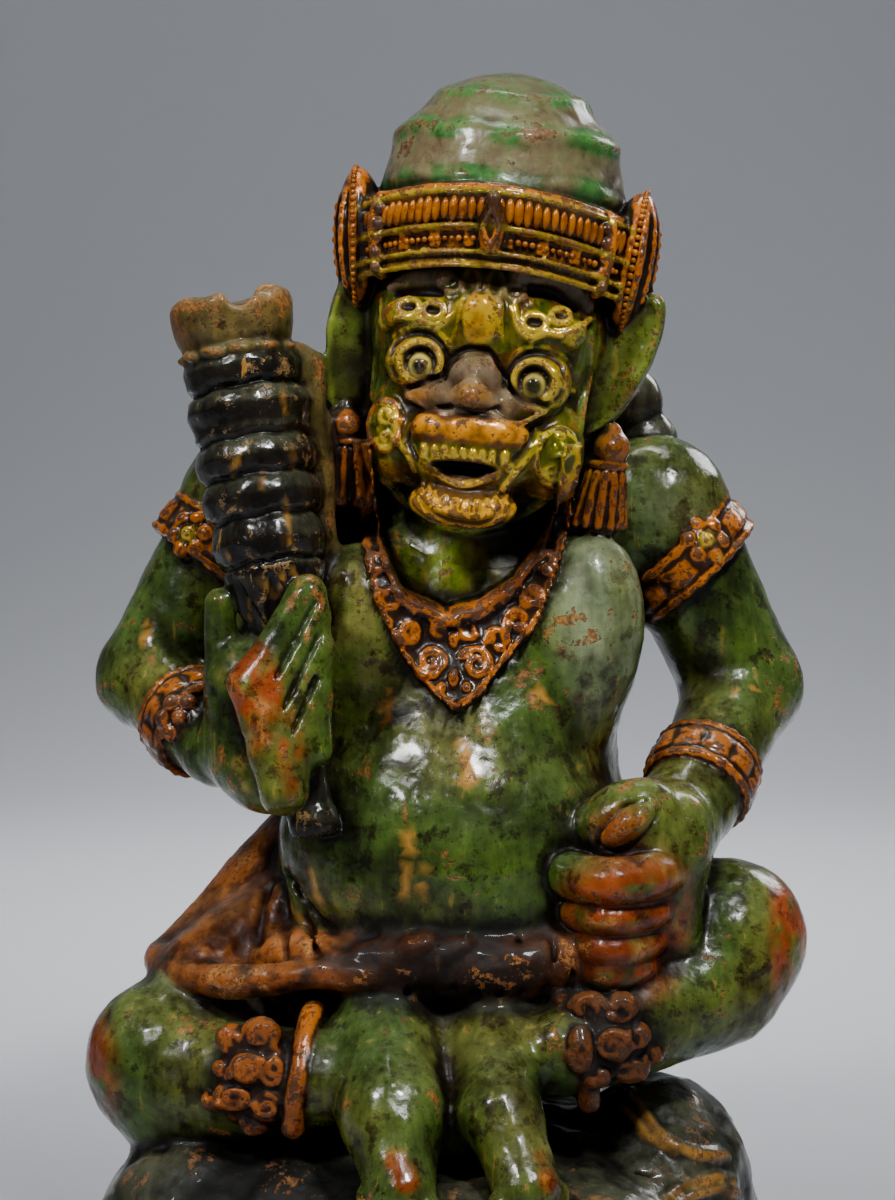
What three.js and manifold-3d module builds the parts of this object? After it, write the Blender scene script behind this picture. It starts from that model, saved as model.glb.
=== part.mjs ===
// A seated temple guardian with a club at his shoulder, carved with its rock from one block of wood.
//
// The block is a grid of distances to the carved surface. Each form of the body is a small distance
// function that is pressed into the grid with a soft join, as a carver blends one mass into the next.
// The surface is then drawn through the grid, thinned to few triangles and sawn flat underneath.
// Millimetres, +Z up. The figure looks along -Y, and the origin is under the middle of the rock.
import * as THREE from "three";
import Module from "manifold-3d";
import { mergeVertices } from "three/addons/utils/BufferGeometryUtils.js";

// Driving dimensions
const FIGURE_HEIGHT = 334; // seat to crown
const ROCK_HEIGHT = 66; // underside to seat
const ROCK_LENGTH = 224; // left to right
const ROCK_DEPTH = 186; // front to back
const CLUB_LENGTH = 175; // broken rim to pommel
const CLUB_RADIUS = 19.5; // the widest ring of the head
const GRIP_RADIUS = 6.6;
const CAP_FOLD_DEPTH = 1.5; // how far the wound folds of the cap stand out
const DIADEM_HEIGHT = 25;
const DIADEM_THICKNESS = 3;
const COLLAR_THICKNESS = 4;
const BAND_THICKNESS = 3; // armlet, bracelets and anklets
const BAND_WIDTH = 15;
const FINGER_RADIUS = 6.6;
const HEM_RADIUS = 5; // rolled hem of the cloth over the thigh

// How finely the block is carved
const GRID_STEP = 2.1;
const TRIANGLES = 9300;
const SAW_MARGIN = 6; // wood below the underside, which the saw takes off

// The pose is drawn on a figure 332 high with the seat at zero, and scaled to the height. Every length
// given to at, size, limb, strand, oval and own is one of the drawn figure.
const DRAWN_HEIGHT = 332;
const scale = FIGURE_HEIGHT / DRAWN_HEIGHT;
const at = (x, y, z) => new THREE.Vector3(x * scale, y * scale, ROCK_HEIGHT + z * scale);
const size = (x, y, z) => new THREE.Vector3(x, y, z).multiplyScalar(scale);

const POSE = {
  hipRight: at(-32, 12, 38),
  hipLeft: at(34, 12, 42),
  kneeRight: at(-90, -34, 15),
  kneeLeft: at(90, -25, 53),
  calfRight: at(-86, -40, 9),
  calfLeft: at(86, -33, 42),
  ankleRight: at(-40, -68, 18),
  ankleLeft: at(38, -68, 27),
  shoulderRight: at(-65, 16, 193),
  shoulderLeft: at(70, 16, 191),
  elbowRight: at(-98.5, 6, 135),
  elbowLeft: at(98.5, 18, 130),
  wristRight: at(-73, -34, 118),
  wristLeft: at(79, -24, 99),
  neckBase: at(4, 4, 166),
  neckTop: at(9, -4, 198),
  pommel: at(-41, -60, 93),
  clubAim: at(-70, -25, 264),
};

// Limbs from joint to joint, with the radius at each end
const LIMBS = {
  upperArmRight: [POSE.shoulderRight, POSE.elbowRight, 21, 17],
  upperArmLeft: [POSE.shoulderLeft, POSE.elbowLeft, 21.5, 19.5],
  forearmRight: [POSE.elbowRight, POSE.wristRight, 16.5, 13.5],
  forearmLeft: [POSE.elbowLeft, POSE.wristLeft, 18.5, 14.5],
  thighRight: [POSE.hipRight, POSE.kneeRight, 33, 27],
  thighLeft: [POSE.hipLeft, POSE.kneeLeft, 33, 26.5],
  shinRight: [POSE.calfRight, POSE.ankleRight, 22.5, 15],
  shinLeft: [POSE.calfLeft, POSE.ankleLeft, 22.5, 15],
};

// Head frame: x to the figure's left, y to the back, z to the crown
const HEAD_CENTRE = at(12, -12, 234);
const HEAD_ROLL = THREE.MathUtils.degToRad(5);
const HEAD_TURN = THREE.MathUtils.degToRad(-4.5);
const headMatrix = new THREE.Matrix4()
  .makeTranslation(HEAD_CENTRE)
  .multiply(new THREE.Matrix4().makeRotationZ(HEAD_TURN))
  .multiply(new THREE.Matrix4().makeRotationY(HEAD_ROLL));

// Distance forms: a box that holds the form, and its distance at a point

const NEAR = 1e-9;

function boxOf(points, reach) {
  return new THREE.Box3().setFromPoints(points).expandByScalar(reach);
}

// A limb that tapers from a to b
function limb(a, b, ra, rb = ra) {
  const [r0, r1] = [ra * scale, rb * scale];
  const ab = b.clone().sub(a);
  const span = Math.max(ab.lengthSq(), NEAR);
  return {
    box: boxOf([a, b], Math.max(r0, r1)),
    far(x, y, z) {
      const [px, py, pz] = [x - a.x, y - a.y, z - a.z];
      const t = Math.min(1, Math.max(0, (px * ab.x + py * ab.y + pz * ab.z) / span));
      const [qx, qy, qz] = [px - ab.x * t, py - ab.y * t, pz - ab.z * t];
      return Math.sqrt(qx * qx + qy * qy + qz * qz) - r0 - (r1 - r0) * t;
    },
  };
}

// A rope along a smooth curve through the points, its radius running from first to last
function strand(points, ra, rb = ra, steps = 10) {
  const line = new THREE.CatmullRomCurve3(points).getPoints(steps);
  const pieces = line.slice(1).map((p, i) => {
    const [t0, t1] = [i / steps, (i + 1) / steps];
    return limb(line[i], p, ra + (rb - ra) * t0, ra + (rb - ra) * t1);
  });
  return together(pieces);
}

function together(forms) {
  return {
    box: forms.reduce((box, f) => box.union(f.box), forms[0].box.clone()),
    far: (x, y, z) => Math.min(...forms.map((f) => f.far(x, y, z))),
  };
}

function oval(centre, rx, ry, rz) {
  const [a, b, c] = [rx * scale, ry * scale, rz * scale];
  return {
    box: new THREE.Box3(new THREE.Vector3(-a, -b, -c), new THREE.Vector3(a, b, c)).translate(centre),
    far(x, y, z) {
      const [px, py, pz] = [(x - centre.x) / a, (y - centre.y) / b, (z - centre.z) / c];
      const near = Math.sqrt(px * px + py * py + pz * pz);
      const steep = Math.sqrt((px * px) / (a * a) + (py * py) / (b * b) + (pz * pz) / (c * c));
      return steep < NEAR ? -Math.min(a, b, c) : (near * (near - 1)) / steep;
    },
  };
}

const BAND_ROUNDING = 0.6; // share of a band's thickness that its edges are rounded by

// A band worn round an axis: half the width lies each side of the middle
function band(middle, axis, radius, thickness, width) {
  const along = axis.clone().normalize();
  const [r, t, w, round] = [radius * scale, thickness, width / 2, thickness * BAND_ROUNDING];
  return {
    box: boxOf([middle], Math.hypot(r + t, w)),
    far(x, y, z) {
      const [px, py, pz] = [x - middle.x, y - middle.y, z - middle.z];
      const s = px * along.x + py * along.y + pz * along.z;
      const out = Math.sqrt(Math.max(px * px + py * py + pz * pz - s * s, 0)) - r;
      const [u, v] = [Math.abs(out) - t + round, Math.abs(s) - w + round];
      return Math.hypot(Math.max(u, 0), Math.max(v, 0)) + Math.min(Math.max(u, v), 0) - round;
    },
  };
}

const SLOPE_ALLOWANCE = 0.85; // the distance to a sloping profile is less than the distance outwards

// A turned form: its radius is a function of the distance along the axis
function turned(foot, direction, length, widest, radiusAt) {
  const along = direction.clone().normalize();
  const tip = foot.clone().addScaledVector(along, length);
  return {
    box: boxOf([foot, tip], widest),
    far(x, y, z) {
      const [px, py, pz] = [x - foot.x, y - foot.y, z - foot.z];
      const s = px * along.x + py * along.y + pz * along.z;
      const out = Math.sqrt(Math.max(px * px + py * py + pz * pz - s * s, 0));
      const side = (out - radiusAt(Math.min(length, Math.max(0, s)))) * SLOPE_ALLOWANCE;
      return Math.max(side, -s, s - length);
    },
  };
}

// The same form, turned or carried by a matrix
function placed(form, matrix) {
  const m = matrix.clone().invert().elements;
  return {
    box: form.box.clone().applyMatrix4(matrix),
    far: (x, y, z) =>
      form.far(
        m[0] * x + m[4] * y + m[8] * z + m[12],
        m[1] * x + m[5] * y + m[9] * z + m[13],
        m[2] * x + m[6] * y + m[10] * z + m[14],
      ),
  };
}

function spun(form, centre, rx, ry, rz) {
  const turn = new THREE.Matrix4().makeRotationFromEuler(new THREE.Euler(rx, ry, rz));
  const out = new THREE.Matrix4().makeTranslation(centre).multiply(turn);
  return placed(form, out.multiply(new THREE.Matrix4().makeTranslation(centre.clone().negate())));
}

// A form whose skin moves out by an amount that depends on the place
function raised(form, most, amount) {
  return {
    box: form.box.clone().expandByScalar(most),
    far: (x, y, z) => form.far(x, y, z) - amount(x, y, z),
  };
}

// The block of wood

const AIR = 60; // the distance written where nothing is carved yet

class Block {
  constructor(box, step) {
    const margin = 2 * step;
    this.step = step;
    this.from = box.min.clone().subScalar(margin);
    const span = box.max.clone().addScalar(margin).sub(this.from);
    this.count = [span.x, span.y, span.z].map((s) => Math.ceil(s / step) + 1);
    this.grid = new Float32Array(this.count[0] * this.count[1] * this.count[2]).fill(AIR);
  }

  index(i, j, k) {
    return (k * this.count[1] + j) * this.count[0] + i;
  }

  work(form, reach, mix) {
    const [low, high] = [form.box.min, form.box.max];
    const first = (v, from) => Math.max(0, Math.floor((v - reach - from) / this.step));
    const last = (v, from, n) => Math.min(n - 1, Math.ceil((v + reach - from) / this.step));
    const [i0, i1] = [first(low.x, this.from.x), last(high.x, this.from.x, this.count[0])];
    const [j0, j1] = [first(low.y, this.from.y), last(high.y, this.from.y, this.count[1])];
    const [k0, k1] = [first(low.z, this.from.z), last(high.z, this.from.z, this.count[2])];
    for (let k = k0; k <= k1; k++)
      for (let j = j0; j <= j1; j++)
        for (let i = i0, n = this.index(i0, j, k); i <= i1; i++, n++) {
          const d = form.far(
            this.from.x + i * this.step,
            this.from.y + j * this.step,
            this.from.z + k * this.step,
          );
          this.grid[n] = mix(this.grid[n], d);
        }
  }

  // Joins a form, with a fillet as wide as the blend
  add(form, blend = 3) {
    const soft = blend * scale;
    this.work(form, soft + 3 * this.step, (old, d) => softLeast(old, d, soft));
  }

  // Lifts the skin already carved, inside a box, by an amount that depends on the place
  lift(box, amount) {
    this.work({ box, far: amount }, 0, (old, d) => old - d);
  }

  // Cuts a form away, with a softened edge
  cut(form, blend = 1.5) {
    const soft = blend * scale;
    this.work(form, soft + this.step, (old, d) => -softLeast(-old, d, soft));
  }
}

function softLeast(a, b, k) {
  const h = Math.max(k - Math.abs(a - b), 0) / k;
  return Math.min(a, b) - (h * h * k) / 4;
}

// The rock: a low boulder with lobes all round, the front ones a ledge for the toes

const ROCK_MIDDLE = size(-6, -20, 0);
const CORE_SHARE = size(0.9, 0.86, 0.98); // the boulder without its lobes, as a share of the rock
const SQUARENESS = { plan: 2.6, side: 4 }; // powers that make the boulder squarer than an egg
const LOBES = 11;
const FIRST_LOBE = 0.35; // where the first lobe sits, in lobes from the figure's left
const LOBE_RING = 0.75; // where the lobes sit between the middle of the rock and its edge

function carveRock(block) {
  const half = new THREE.Vector3(ROCK_LENGTH / 2, ROCK_DEPTH / 2, ROCK_HEIGHT);
  const core = {
    box: new THREE.Box3(half.clone().negate(), half.clone()).translate(ROCK_MIDDLE),
    far(x, y, z) {
      const u = Math.abs(x - ROCK_MIDDLE.x) / (half.x * CORE_SHARE.x);
      const v = Math.abs(y - ROCK_MIDDLE.y) / (half.y * CORE_SHARE.y);
      const w = Math.abs(z) / (half.z * CORE_SHARE.z);
      const near = Math.cbrt(u ** SQUARENESS.plan + v ** SQUARENESS.plan + w ** SQUARENESS.side);
      return (near - 1) * half.z;
    },
  };
  block.add(core, 1);
  for (let n = 0; n < LOBES; n++) {
    const angle = ((n + FIRST_LOBE) / LOBES) * 2 * Math.PI;
    const wobble = Math.sin(n * 2.4);
    const centre = new THREE.Vector3(
      ROCK_MIDDLE.x + Math.cos(angle) * half.x * LOBE_RING,
      ROCK_MIDDLE.y + Math.sin(angle) * half.y * LOBE_RING,
      ROCK_HEIGHT * (0.34 + 0.12 * wobble),
    );
    const lobe = oval(new THREE.Vector3(), 34, 27 + 4 * wobble, 26 + 5 * wobble);
    const turn = new THREE.Matrix4().makeRotationZ(angle + Math.PI / 2).setPosition(centre);
    block.add(placed(lobe, turn), 6);
  }
  block.add(oval(at(4, -92, -34), 46, 24, 24), 8); // ledge under the toes
  block.add(oval(at(67, -28, -29), 32, 36, 38), 5); // the swirling lobe beside the left foot
}

// Trunk: seat, belly, chest and shoulders

function carveTrunk(block) {
  block.add(oval(at(0, 12, 30), 56, 44, 34), 8);
  block.add(oval(at(4, 12, 106), 53, 34, 66), 12);
  block.add(oval(at(2, -20, 82), 57, 49, 53), 14);
  block.add(oval(at(8, -2, 150), 55, 35, 46), 14);
  block.add(oval(at(6, -16, 122), 44, 32, 34), 14);
  block.add(limb(POSE.shoulderRight, POSE.shoulderLeft, 20), 16);
  for (const [x, y, z] of [[42, -22, 150], [-26, -25, 147]])
    block.add(spun(oval(at(x, y, z), 21, 19, 35), at(x, y, z), 0.1, x * 0.004, 0), 9);
  block.add(limb(at(62, 12, 176), at(68, 12, 160), 12, 6), 8); // armpit
  block.add(limb(POSE.neckBase, POSE.neckTop, 27, 26), 7);
}

// Legs folded outwards, the feet together in front

const TOES = 5;

function carveLegs(block) {
  block.add(limb(...LIMBS.thighRight), 10);
  block.add(limb(...LIMBS.thighLeft), 10);
  block.add(limb(...LIMBS.shinRight), 4);
  block.add(limb(...LIMBS.shinLeft), 4);
  const feet = [
    { heel: at(-26, -62, 28), arch: at(-18, -90, 10), ball: at(-14, -106, -8), side: -1 },
    { heel: at(24, -62, 30), arch: at(19, -90, 12), ball: at(26, -106, -7), side: 1 },
  ];
  for (const { heel, arch, ball, side } of feet) {
    block.add(limb(heel, arch, 15.5, 14.5), 8);
    block.add(limb(arch, ball, 14, 10.5), 6);
    for (let toe = 0; toe < TOES; toe++) {
      const root = ball.clone().add(size(side * (toe * 4.2 - 7), -5 + toe * 1.5, -4 + toe * 0.6));
      const tip = root.clone().add(size(0, -5 + toe * 0.5, -6));
      block.add(limb(root, tip, toe ? 3.4 : 5, toe ? 2.8 : 4.2), 1.6);
    }
  }
}

// Loincloth: a sheet over the right thigh with a rolled hem, and a knotted sash under the belly

function carveCloth(block) {
  const hem = HEM_RADIUS / scale;
  block.add(limb(at(-40, 20, 60), at(-76, 8, 34), 20, 15), 8);
  block.add(limb(at(-47, 8, 79), at(-84, -6, 42), 15, 13), 9);
  block.add(limb(at(-36, -10, 58), at(-76, -26, 42), 25, 17), 8);
  block.add(limb(at(50, 8, 84), at(72, -8, 68), 14, 12), 8);
  block.add(strand([at(46, -56, 46), at(66, -42, 58), at(80, -8, 78)], hem, hem), 3);
  const sash = [at(-52, -40, 50), at(-34, -58, 52), at(-12, -63, 53), at(14, -63, 52), at(44, -56, 54)];
  block.add(strand(sash, 9, 10, 14), 6);
  const thighHem = [at(-84, 8, 40), at(-93, -8, 44), at(-89, -30, 43), at(-76, -46, 44), at(-60, -56, 46)];
  block.add(strand([...thighHem, at(-40, -64, 50), at(-24, -68, 50)], hem * 1.24, hem * 0.92, 21), 2);
  for (const [x, y, z, r] of [[-9, -69, 60, 4.6], [-2, -69, 57, 4], [4, -68, 60, 3.2]])
    block.add(oval(at(x, y, z), r * 1.4, r, r), 3); // knot
  const belt = [at(-51, 16, 63), at(-34, 35, 60), at(4, 43, 58), at(38, 35, 60), at(53, 16, 63)];
  block.add(strand(belt, hem * 1.2, hem * 1.2, 12), 4);
  block.add(limb(at(6, 44, 58), at(12, 57, 26), hem * 1.8, hem * 1.5), 4); // tail of the sash behind
}

// Arms, with hands closed on the club and on the thigh

function carveArms(block) {
  block.add(limb(...LIMBS.upperArmRight), 10);
  block.add(limb(...LIMBS.forearmRight), 5);
  block.add(limb(...LIMBS.upperArmLeft), 8);
  block.add(limb(...LIMBS.forearmLeft), 5);
}

// A point in front of the club's grip, at a height on the figure and so far to the figure's left
const FINGER_SEAT = 0.75; // share of a finger's radius that it stands off the grip
function onGrip(height, side, lift = 0) {
  const { pommel, clubAim } = POSE;
  const z = at(0, 0, height).z;
  const axis = pommel.clone().lerp(clubAim, (z - pommel.z) / (clubAim.z - pommel.z));
  const front = GRIP_RADIUS + FINGER_RADIUS * (1 + FINGER_SEAT) + lift * scale;
  return axis.add(new THREE.Vector3(side * scale, -front, 0));
}

function carveClubHand(block) {
  block.add(limb(at(-60, -50, 117), at(-64, -49, 142), 15.5, 12.5), 6);
  block.add(limb(at(-56, -58, 112), at(-48, -60, 124), 12, 11), 6);
  const fingers = [[142, 170, 11], [131, 162, 11.5], [120, 152, 11], [110, 139, 8]];
  const [thick, fine] = [FINGER_RADIUS / scale + 0.6, FINGER_RADIUS / scale - 1.4];
  for (const [n, [low, high, reach]] of fingers.entries())
    block.add(limb(onGrip(low, -11 + n * 1.4), onGrip(high, reach, -1), thick, fine), 2);
  const edge = fingers.map(([, high, reach]) => onGrip(high - 2, reach - 1.4, -2));
  block.add(strand([...edge, onGrip(122, 5, -2)], 5.4, 5.4, 10), 3);
  const roots = fingers.map(([low], n) => onGrip(low, n * 1.4 - 11, -1));
  block.add(strand(roots, thick, thick, 8), 3);
  block.add(limb(at(-70, -44, 124), at(-72, -48, 165), 7, 4.8), 3); // thumb
  block.add(limb(at(-58, -36, 132), at(-50, -14, 184), 14, 14), 5); // wood left behind the grip
}

function carveRestingHand(block) {
  block.add(oval(at(60, -46, 78), 20, 20, 30), 5);
  block.add(limb(POSE.wristLeft, at(67, -46, 87), 14, 17), 6);
  block.add(spun(oval(at(56, -54, 97), 17, 11, 12), at(56, -54, 97), 0, -0.5, 0), 4); // ball of the thumb
  for (const [n, z] of [81, 69, 59, 51].entries()) {
    const r = FINGER_RADIUS / scale + (n ? -0.6 : 1.4);
    const [out, tip] = [n * 2, 38.5 + n * 2.2];
    const [root, knuckle] = [at(70 - out, -54, z + 1), at(62 - out, -67 + n, z)];
    block.add(strand([root, knuckle, at(50, -72 + n * 1.5, z), at(tip, -61 + n, z)], r, r * 0.95, 6), 1.4);
  }
  block.add(limb(at(71.5, -47, 94), at(70, -47, 60), 11.5, 10.5), 3); // back of the hand
  block.add(spun(oval(at(56, -62, 97), 10.5, 7, 5.6), at(56, -62, 97), 0, -0.62, 0), 1); // thumb nail
  block.add(limb(at(34, -44, 88), at(44, -34, 70), 9, 14), 8); // wood left between fist and belly
}

// The club: turned rings above a lotus bud, a plain grip and a pommel

const GRIP = GRIP_RADIUS / CLUB_RADIUS;
const CLUB_PROFILE = [
  // share of the length, share of the widest radius
  [0, GRIP * 1.1], [0.02, GRIP * 1.25], [0.045, GRIP * 1.15], [0.055, GRIP], [0.3, GRIP],
  [0.335, 0.36], [0.4, 0.58], [0.49, 0.8], [0.497, 0.76], [0.505, 0.86], [0.535, 0.93], [0.57, 0.88],
  [0.58, 0.84], [0.59, 0.93], [0.62, 0.98], [0.645, 0.93], [0.655, 0.87], [0.665, 0.94], [0.69, 0.99],
  [0.715, 0.94], [0.725, 0.87], [0.737, 0.93], [0.75, 0.91], [0.785, 1], [0.81, 0.93], [0.818, 0.84],
  [0.83, 0.92], [0.86, 0.94], [0.882, 0.88], [0.892, 0.83], [0.93, 0.88], [1, 1.04],
];

function clubRadius(s) {
  const t = s / CLUB_LENGTH;
  const n = Math.max(1, CLUB_PROFILE.findIndex(([share]) => share >= t));
  const [[t0, r0], [t1, r1]] = [CLUB_PROFILE[n - 1], CLUB_PROFILE[n]];
  return CLUB_RADIUS * (r0 + ((r1 - r0) * (t - t0)) / (t1 - t0));
}

function carveClub(block) {
  const aim = POSE.clubAim.clone().sub(POSE.pommel).normalize();
  block.add(turned(POSE.pommel, aim, CLUB_LENGTH, CLUB_RADIUS * 1.1, clubRadius), 1);
  const rim = POSE.pommel.clone().addScaledVector(aim, CLUB_LENGTH);
  block.cut(oval(rim.clone().add(size(-2, -5, 2)), 9, 14, 6), 2); // broken away
  block.cut(oval(rim.clone().add(size(12, 0, 3)), 7, 12, 4), 2);
  block.add(limb(at(-44, -6, 176), at(-40, 0, 212), 15, 13), 8); // wood left beside the head
  block.add(limb(at(-40, 0, 212), at(-30, 6, 240), 13, 9), 8);
}

// Head, in its own frame

const own = (x, y, z) => size(x, y, z);
const both = (make) => [make(-1), make(1)];

function headForms() {
  const noseTip = own(-0.4, -50.4, -3);
  const brow = [[7, -42, 21], [16, -39, 16], [29, -31, 19]];
  return [
    [oval(own(0, 4, 16), 40, 42, 46), 4],
    [oval(own(0, -8, -12), 34, 34, 32), 8],
    [oval(own(0, -13, 14), 33, 28, 28), 4],
    [oval(own(-24, -26, -18), 10, 12, 16), 5],
    [oval(own(24.5, -25, -20), 10.5, 12, 15), 5],
    [oval(own(0, -34, -20), 22, 17, 16), 5],
    [oval(own(-0.6, -44.5, -14.2), 18.6, 7.5, 6.6), 2.6],
    [oval(own(-1, -38, -38), 17, 13, 7.5), 4],
    [limb(own(-9, -47, -37), own(7, -47, -37), 3), 2],
    ...both((s) => [oval(own(s * 17.5, -31, 18.5), 15, 8, 7), 4]),
    ...both((s) => [strand(brow.map(([x, y, z]) => own(s * x, y, z)), 2.6, 2.2, 6), 1.6]),
    [oval(own(-0.6, -40.4, 20.6), 5.4, 2.6, 7), 3.4],
    [oval(own(-0.4, -42.5, 1.4), 8.5, 6, 7.4), 2.2],
    [oval(own(-0.6, -43, -4.4), 13, 5.6, 4.6), 2.2],
    [limb(own(-20.5, -36.8, -5.4), own(-9, -43.6, -4.6), 1.6, 4.4), 2],
    [limb(own(21.5, -34.6, -6.4), own(9.5, -43.4, -6.2), 1.6, 4.4), 2],
    [limb(own(-0.6, -45.5, 4.6), noseTip, 2.4, 3.6), 1.8],
    ...both((s) => [limb(noseTip, own(s * 6.2 - 0.4, -47, -5.2), 3.2, 2.5), 1.6]),
  ];
}

const EYE_LIFT = 1.5; // the right eye sits this much higher, the left as much lower
const EYE_RING = [6.4, 1.1, 3.4]; // radius, thickness, width
const CHEEK_SCROLL = [7, 2.2, 6]; // the same three of the scroll on a cheek

function carveHead(block) {
  const head = (form, blend) => block.add(placed(form, headMatrix), blend);
  const away = (form, blend) => block.cut(placed(form, headMatrix), blend);
  for (const [form, blend] of headForms()) head(form, blend);
  for (const s of [-1, 1]) {
    const eye = own(s * 18, -40.5, 3.6 - s * EYE_LIFT);
    head(oval(eye.clone().setY(-33.5 * scale), 11.5, 8.6, 10.4), 3);
    head(band(eye, new THREE.Vector3(s * 0.25, -1, 0), ...EYE_RING), 0.8);
    away(oval(eye.clone().setY(-44.5 * scale), 5.6, 8.5, 5.6), 0.6);
    head(oval(eye.clone().setY(-37.4 * scale), 4.5, 5.6, 4.5), 0.4);
    head(band(own(s * 26.5, -31, -19), new THREE.Vector3(s, -0.9, 0), ...CHEEK_SCROLL), 2);
  }
  away(oval(own(-1.3, -52, -26.2), 11.4, 10, 3), 1); // open mouth
  carveEars(head, away);
}

// The right ear hangs close to the head; the left is a leaf that leans out and is hollowed deeper
const EARS = [
  { s: -1, lean: 0.06, height: 5, hollow: 1.6 },
  { s: 1, lean: 0.42, height: 8, hollow: 4.6 },
];

function carveEars(head, away) {
  for (const { s, lean, height, hollow } of EARS) {
    const middle = own(s * 43, -6, height);
    const leaf = (form) => spun(form, middle, 0, s * lean, -s * 0.25);
    head(leaf(oval(middle, 9, 6, 26)), 3);
    away(leaf(oval(own(s * 44, -13.4, height + 1), 5.4, hollow, 18)), 2);
    head(oval(own(s * 43, -9, -18), 6, 7, 6), 1.6); // ear pendant: a bud over a bell
    head(limb(own(s * 42, -8, -28), own(s * 41, -6, -40), 6, 8), 3);
  }
}

// Diadem, with its side flares, and the wound cap above it

const DIADEM_FOOT = 37; // height of its lower edge at the brow, above the head's centre
const DIADEM_DIP = 8; // how much lower it sits at the temples
const FLARE_RIDGE = 1; // how far the ridges of a flare stand out
const FLARE_RIDGES = 9; // right round it
const HEAD_HALF = 43; // half the head's width at the diadem

function carveDiadem(block) {
  const head = (form, blend) => block.add(placed(form, headMatrix), blend);
  const half = DIADEM_HEIGHT / 2;
  const middle = DIADEM_FOOT * scale + half;
  const tier = (low, high, out) => ({
    box: boxOf([own(0, 2, 0).setZ(middle)], HEAD_HALF * scale + half + DIADEM_THICKNESS * 2),
    far(x, y, z) {
      const dip = DIADEM_DIP * scale * (x / (HEAD_HALF * scale)) ** 2;
      const fromRing = Math.hypot(x, y - 2 * scale) - (HEAD_HALF - 1) * scale;
      const round = Math.abs(fromRing) - DIADEM_THICKNESS * out;
      const up = Math.abs(z + dip - middle - half * (low + high) * 0.5) - half * (high - low) * 0.5;
      return Math.max(round, up);
    },
  });
  head(tier(-1, 1, 0.5), 2);
  head(tier(0.12, 1, 0.95), 1.5);
  head(tier(-0.55, 0.02, 0.9), 1.5);
  head(oval(own(0.8, -43, 49), 4.2, 4, 9), 1.5); // front jewel
  for (const s of [-1, 1]) {
    const [centre, [rx, ry, rz]] = [own(s * 43.5, -4, 41), [8, 15, 23]];
    const flare = raised(oval(centre, rx, ry, rz), FLARE_RIDGE, (x, y, z) => {
      const around = Math.atan2((y - centre.y) / ry, (x - centre.x) / rx);
      const ends = Math.min(1, Math.max(0, (rz * 0.75 - Math.abs(z - centre.z)) / 6));
      return FLARE_RIDGE * Math.cos(FLARE_RIDGES * around) * ends;
    });
    head(spun(flare, centre, 0, s * 0.1, 0), 3);
  }
}

const FOLD_SPACING = THREE.MathUtils.degToRad(25); // between folds, up the side of the dome
const FIRST_FOLD = THREE.MathUtils.degToRad(5);
const FOLD_DIP = 6.4; // how much lower a fold lies at the temples
const FOLDS_END = THREE.MathUtils.degToRad(66); // above this the crown is smooth
const HOLLOW = 0.45; // how deep the cloth sinks between folds, against their depth
const CAP_FOOT = 52;

function carveCap(block) {
  const [rx, ry, rz] = [38.7, 42, 37.3];
  const centre = own(0.6, 3, 60.5);
  const folded = raised(oval(centre, rx, ry, rz), CAP_FOLD_DEPTH, (x, y, z) => {
    const drape = FOLD_DIP * scale * (x / (HEAD_HALF * scale)) ** 2;
    const around = Math.hypot(x - centre.x, (y - centre.y) * (rx / ry));
    const latitude = Math.atan2(((z + drape - centre.z) * rx) / rz, around);
    const calm = Math.min(1, Math.max(0, (FOLDS_END - latitude) / 0.3));
    const ridge = Math.cos((2 * Math.PI * (latitude - FIRST_FOLD)) / FOLD_SPACING) * calm;
    return CAP_FOLD_DEPTH * (ridge > 0 ? ridge ** 1.6 : HOLLOW * ridge);
  });
  const dome = { box: folded.box, far: (x, y, z) => Math.max(folded.far(x, y, z), CAP_FOOT * scale - z) };
  block.add(placed(dome, headMatrix), 2);
}

// Hair at the nape, falling in curls on the shoulders

const CURL_ROWS = 4;
const CURLS = 7; // in the top row, with one more in each row below
const CURL_SPAN = [0.04, 0.96]; // from ear to ear round the back, in half turns

function carveHair(block) {
  block.add(oval(at(12, 24, 236), 42, 29, 42), 6);
  block.add(oval(at(9, 30, 200), 42, 18, 30), 8);
  for (let row = 0; row < CURL_ROWS; row++) {
    const [wide, deep, z] = [45 + row * 5, 28 - row * 1.5, 240 - row * 14];
    const count = CURLS + row;
    for (let n = 0; n < count; n++) {
      const turn = Math.PI * THREE.MathUtils.lerp(...CURL_SPAN, (n + 0.5) / count);
      const r = 9.5 + Math.sin(n * 2.7 + row);
      const sag = 5 * Math.sin(turn);
      block.add(oval(at(14 + Math.cos(turn) * wide, 22 + Math.sin(turn) * deep, z - sag), r, r, r + 1), 1.6);
    }
  }
}

// Jewellery: collar with a point on the chest, armlets, bracelets and anklets

const COLLAR_EDGE = 1.5; // over which the collar's edge rises

// The collar's lower and upper edge on the chest: distance to the figure's left, then height
const COLLAR_LOW = [
  [-31, 222], [-28, 190], [-27, 183], [-23, 166], [-14, 148], [-8.5, 140.5], [2, 131.5],
  [10, 136], [18, 146], [28.5, 158], [34, 172], [39, 188], [43, 222],
];
const COLLAR_HIGH = [
  [-25, 222], [-22.5, 192], [-20.6, 182.6], [-14, 169.3], [-0.6, 163],
  [10, 165.4], [20.6, 172], [30, 185], [34, 194], [37, 222],
];

function edgeAt(edge, x) {
  const n = Math.min(edge.length - 1, Math.max(1, edge.findIndex(([to]) => to >= x)));
  const [[x0, z0], [x1, z1]] = [edge[n - 1], edge[n]];
  return z0 + ((z1 - z0) * (x - x0)) / (x1 - x0);
}

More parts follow.
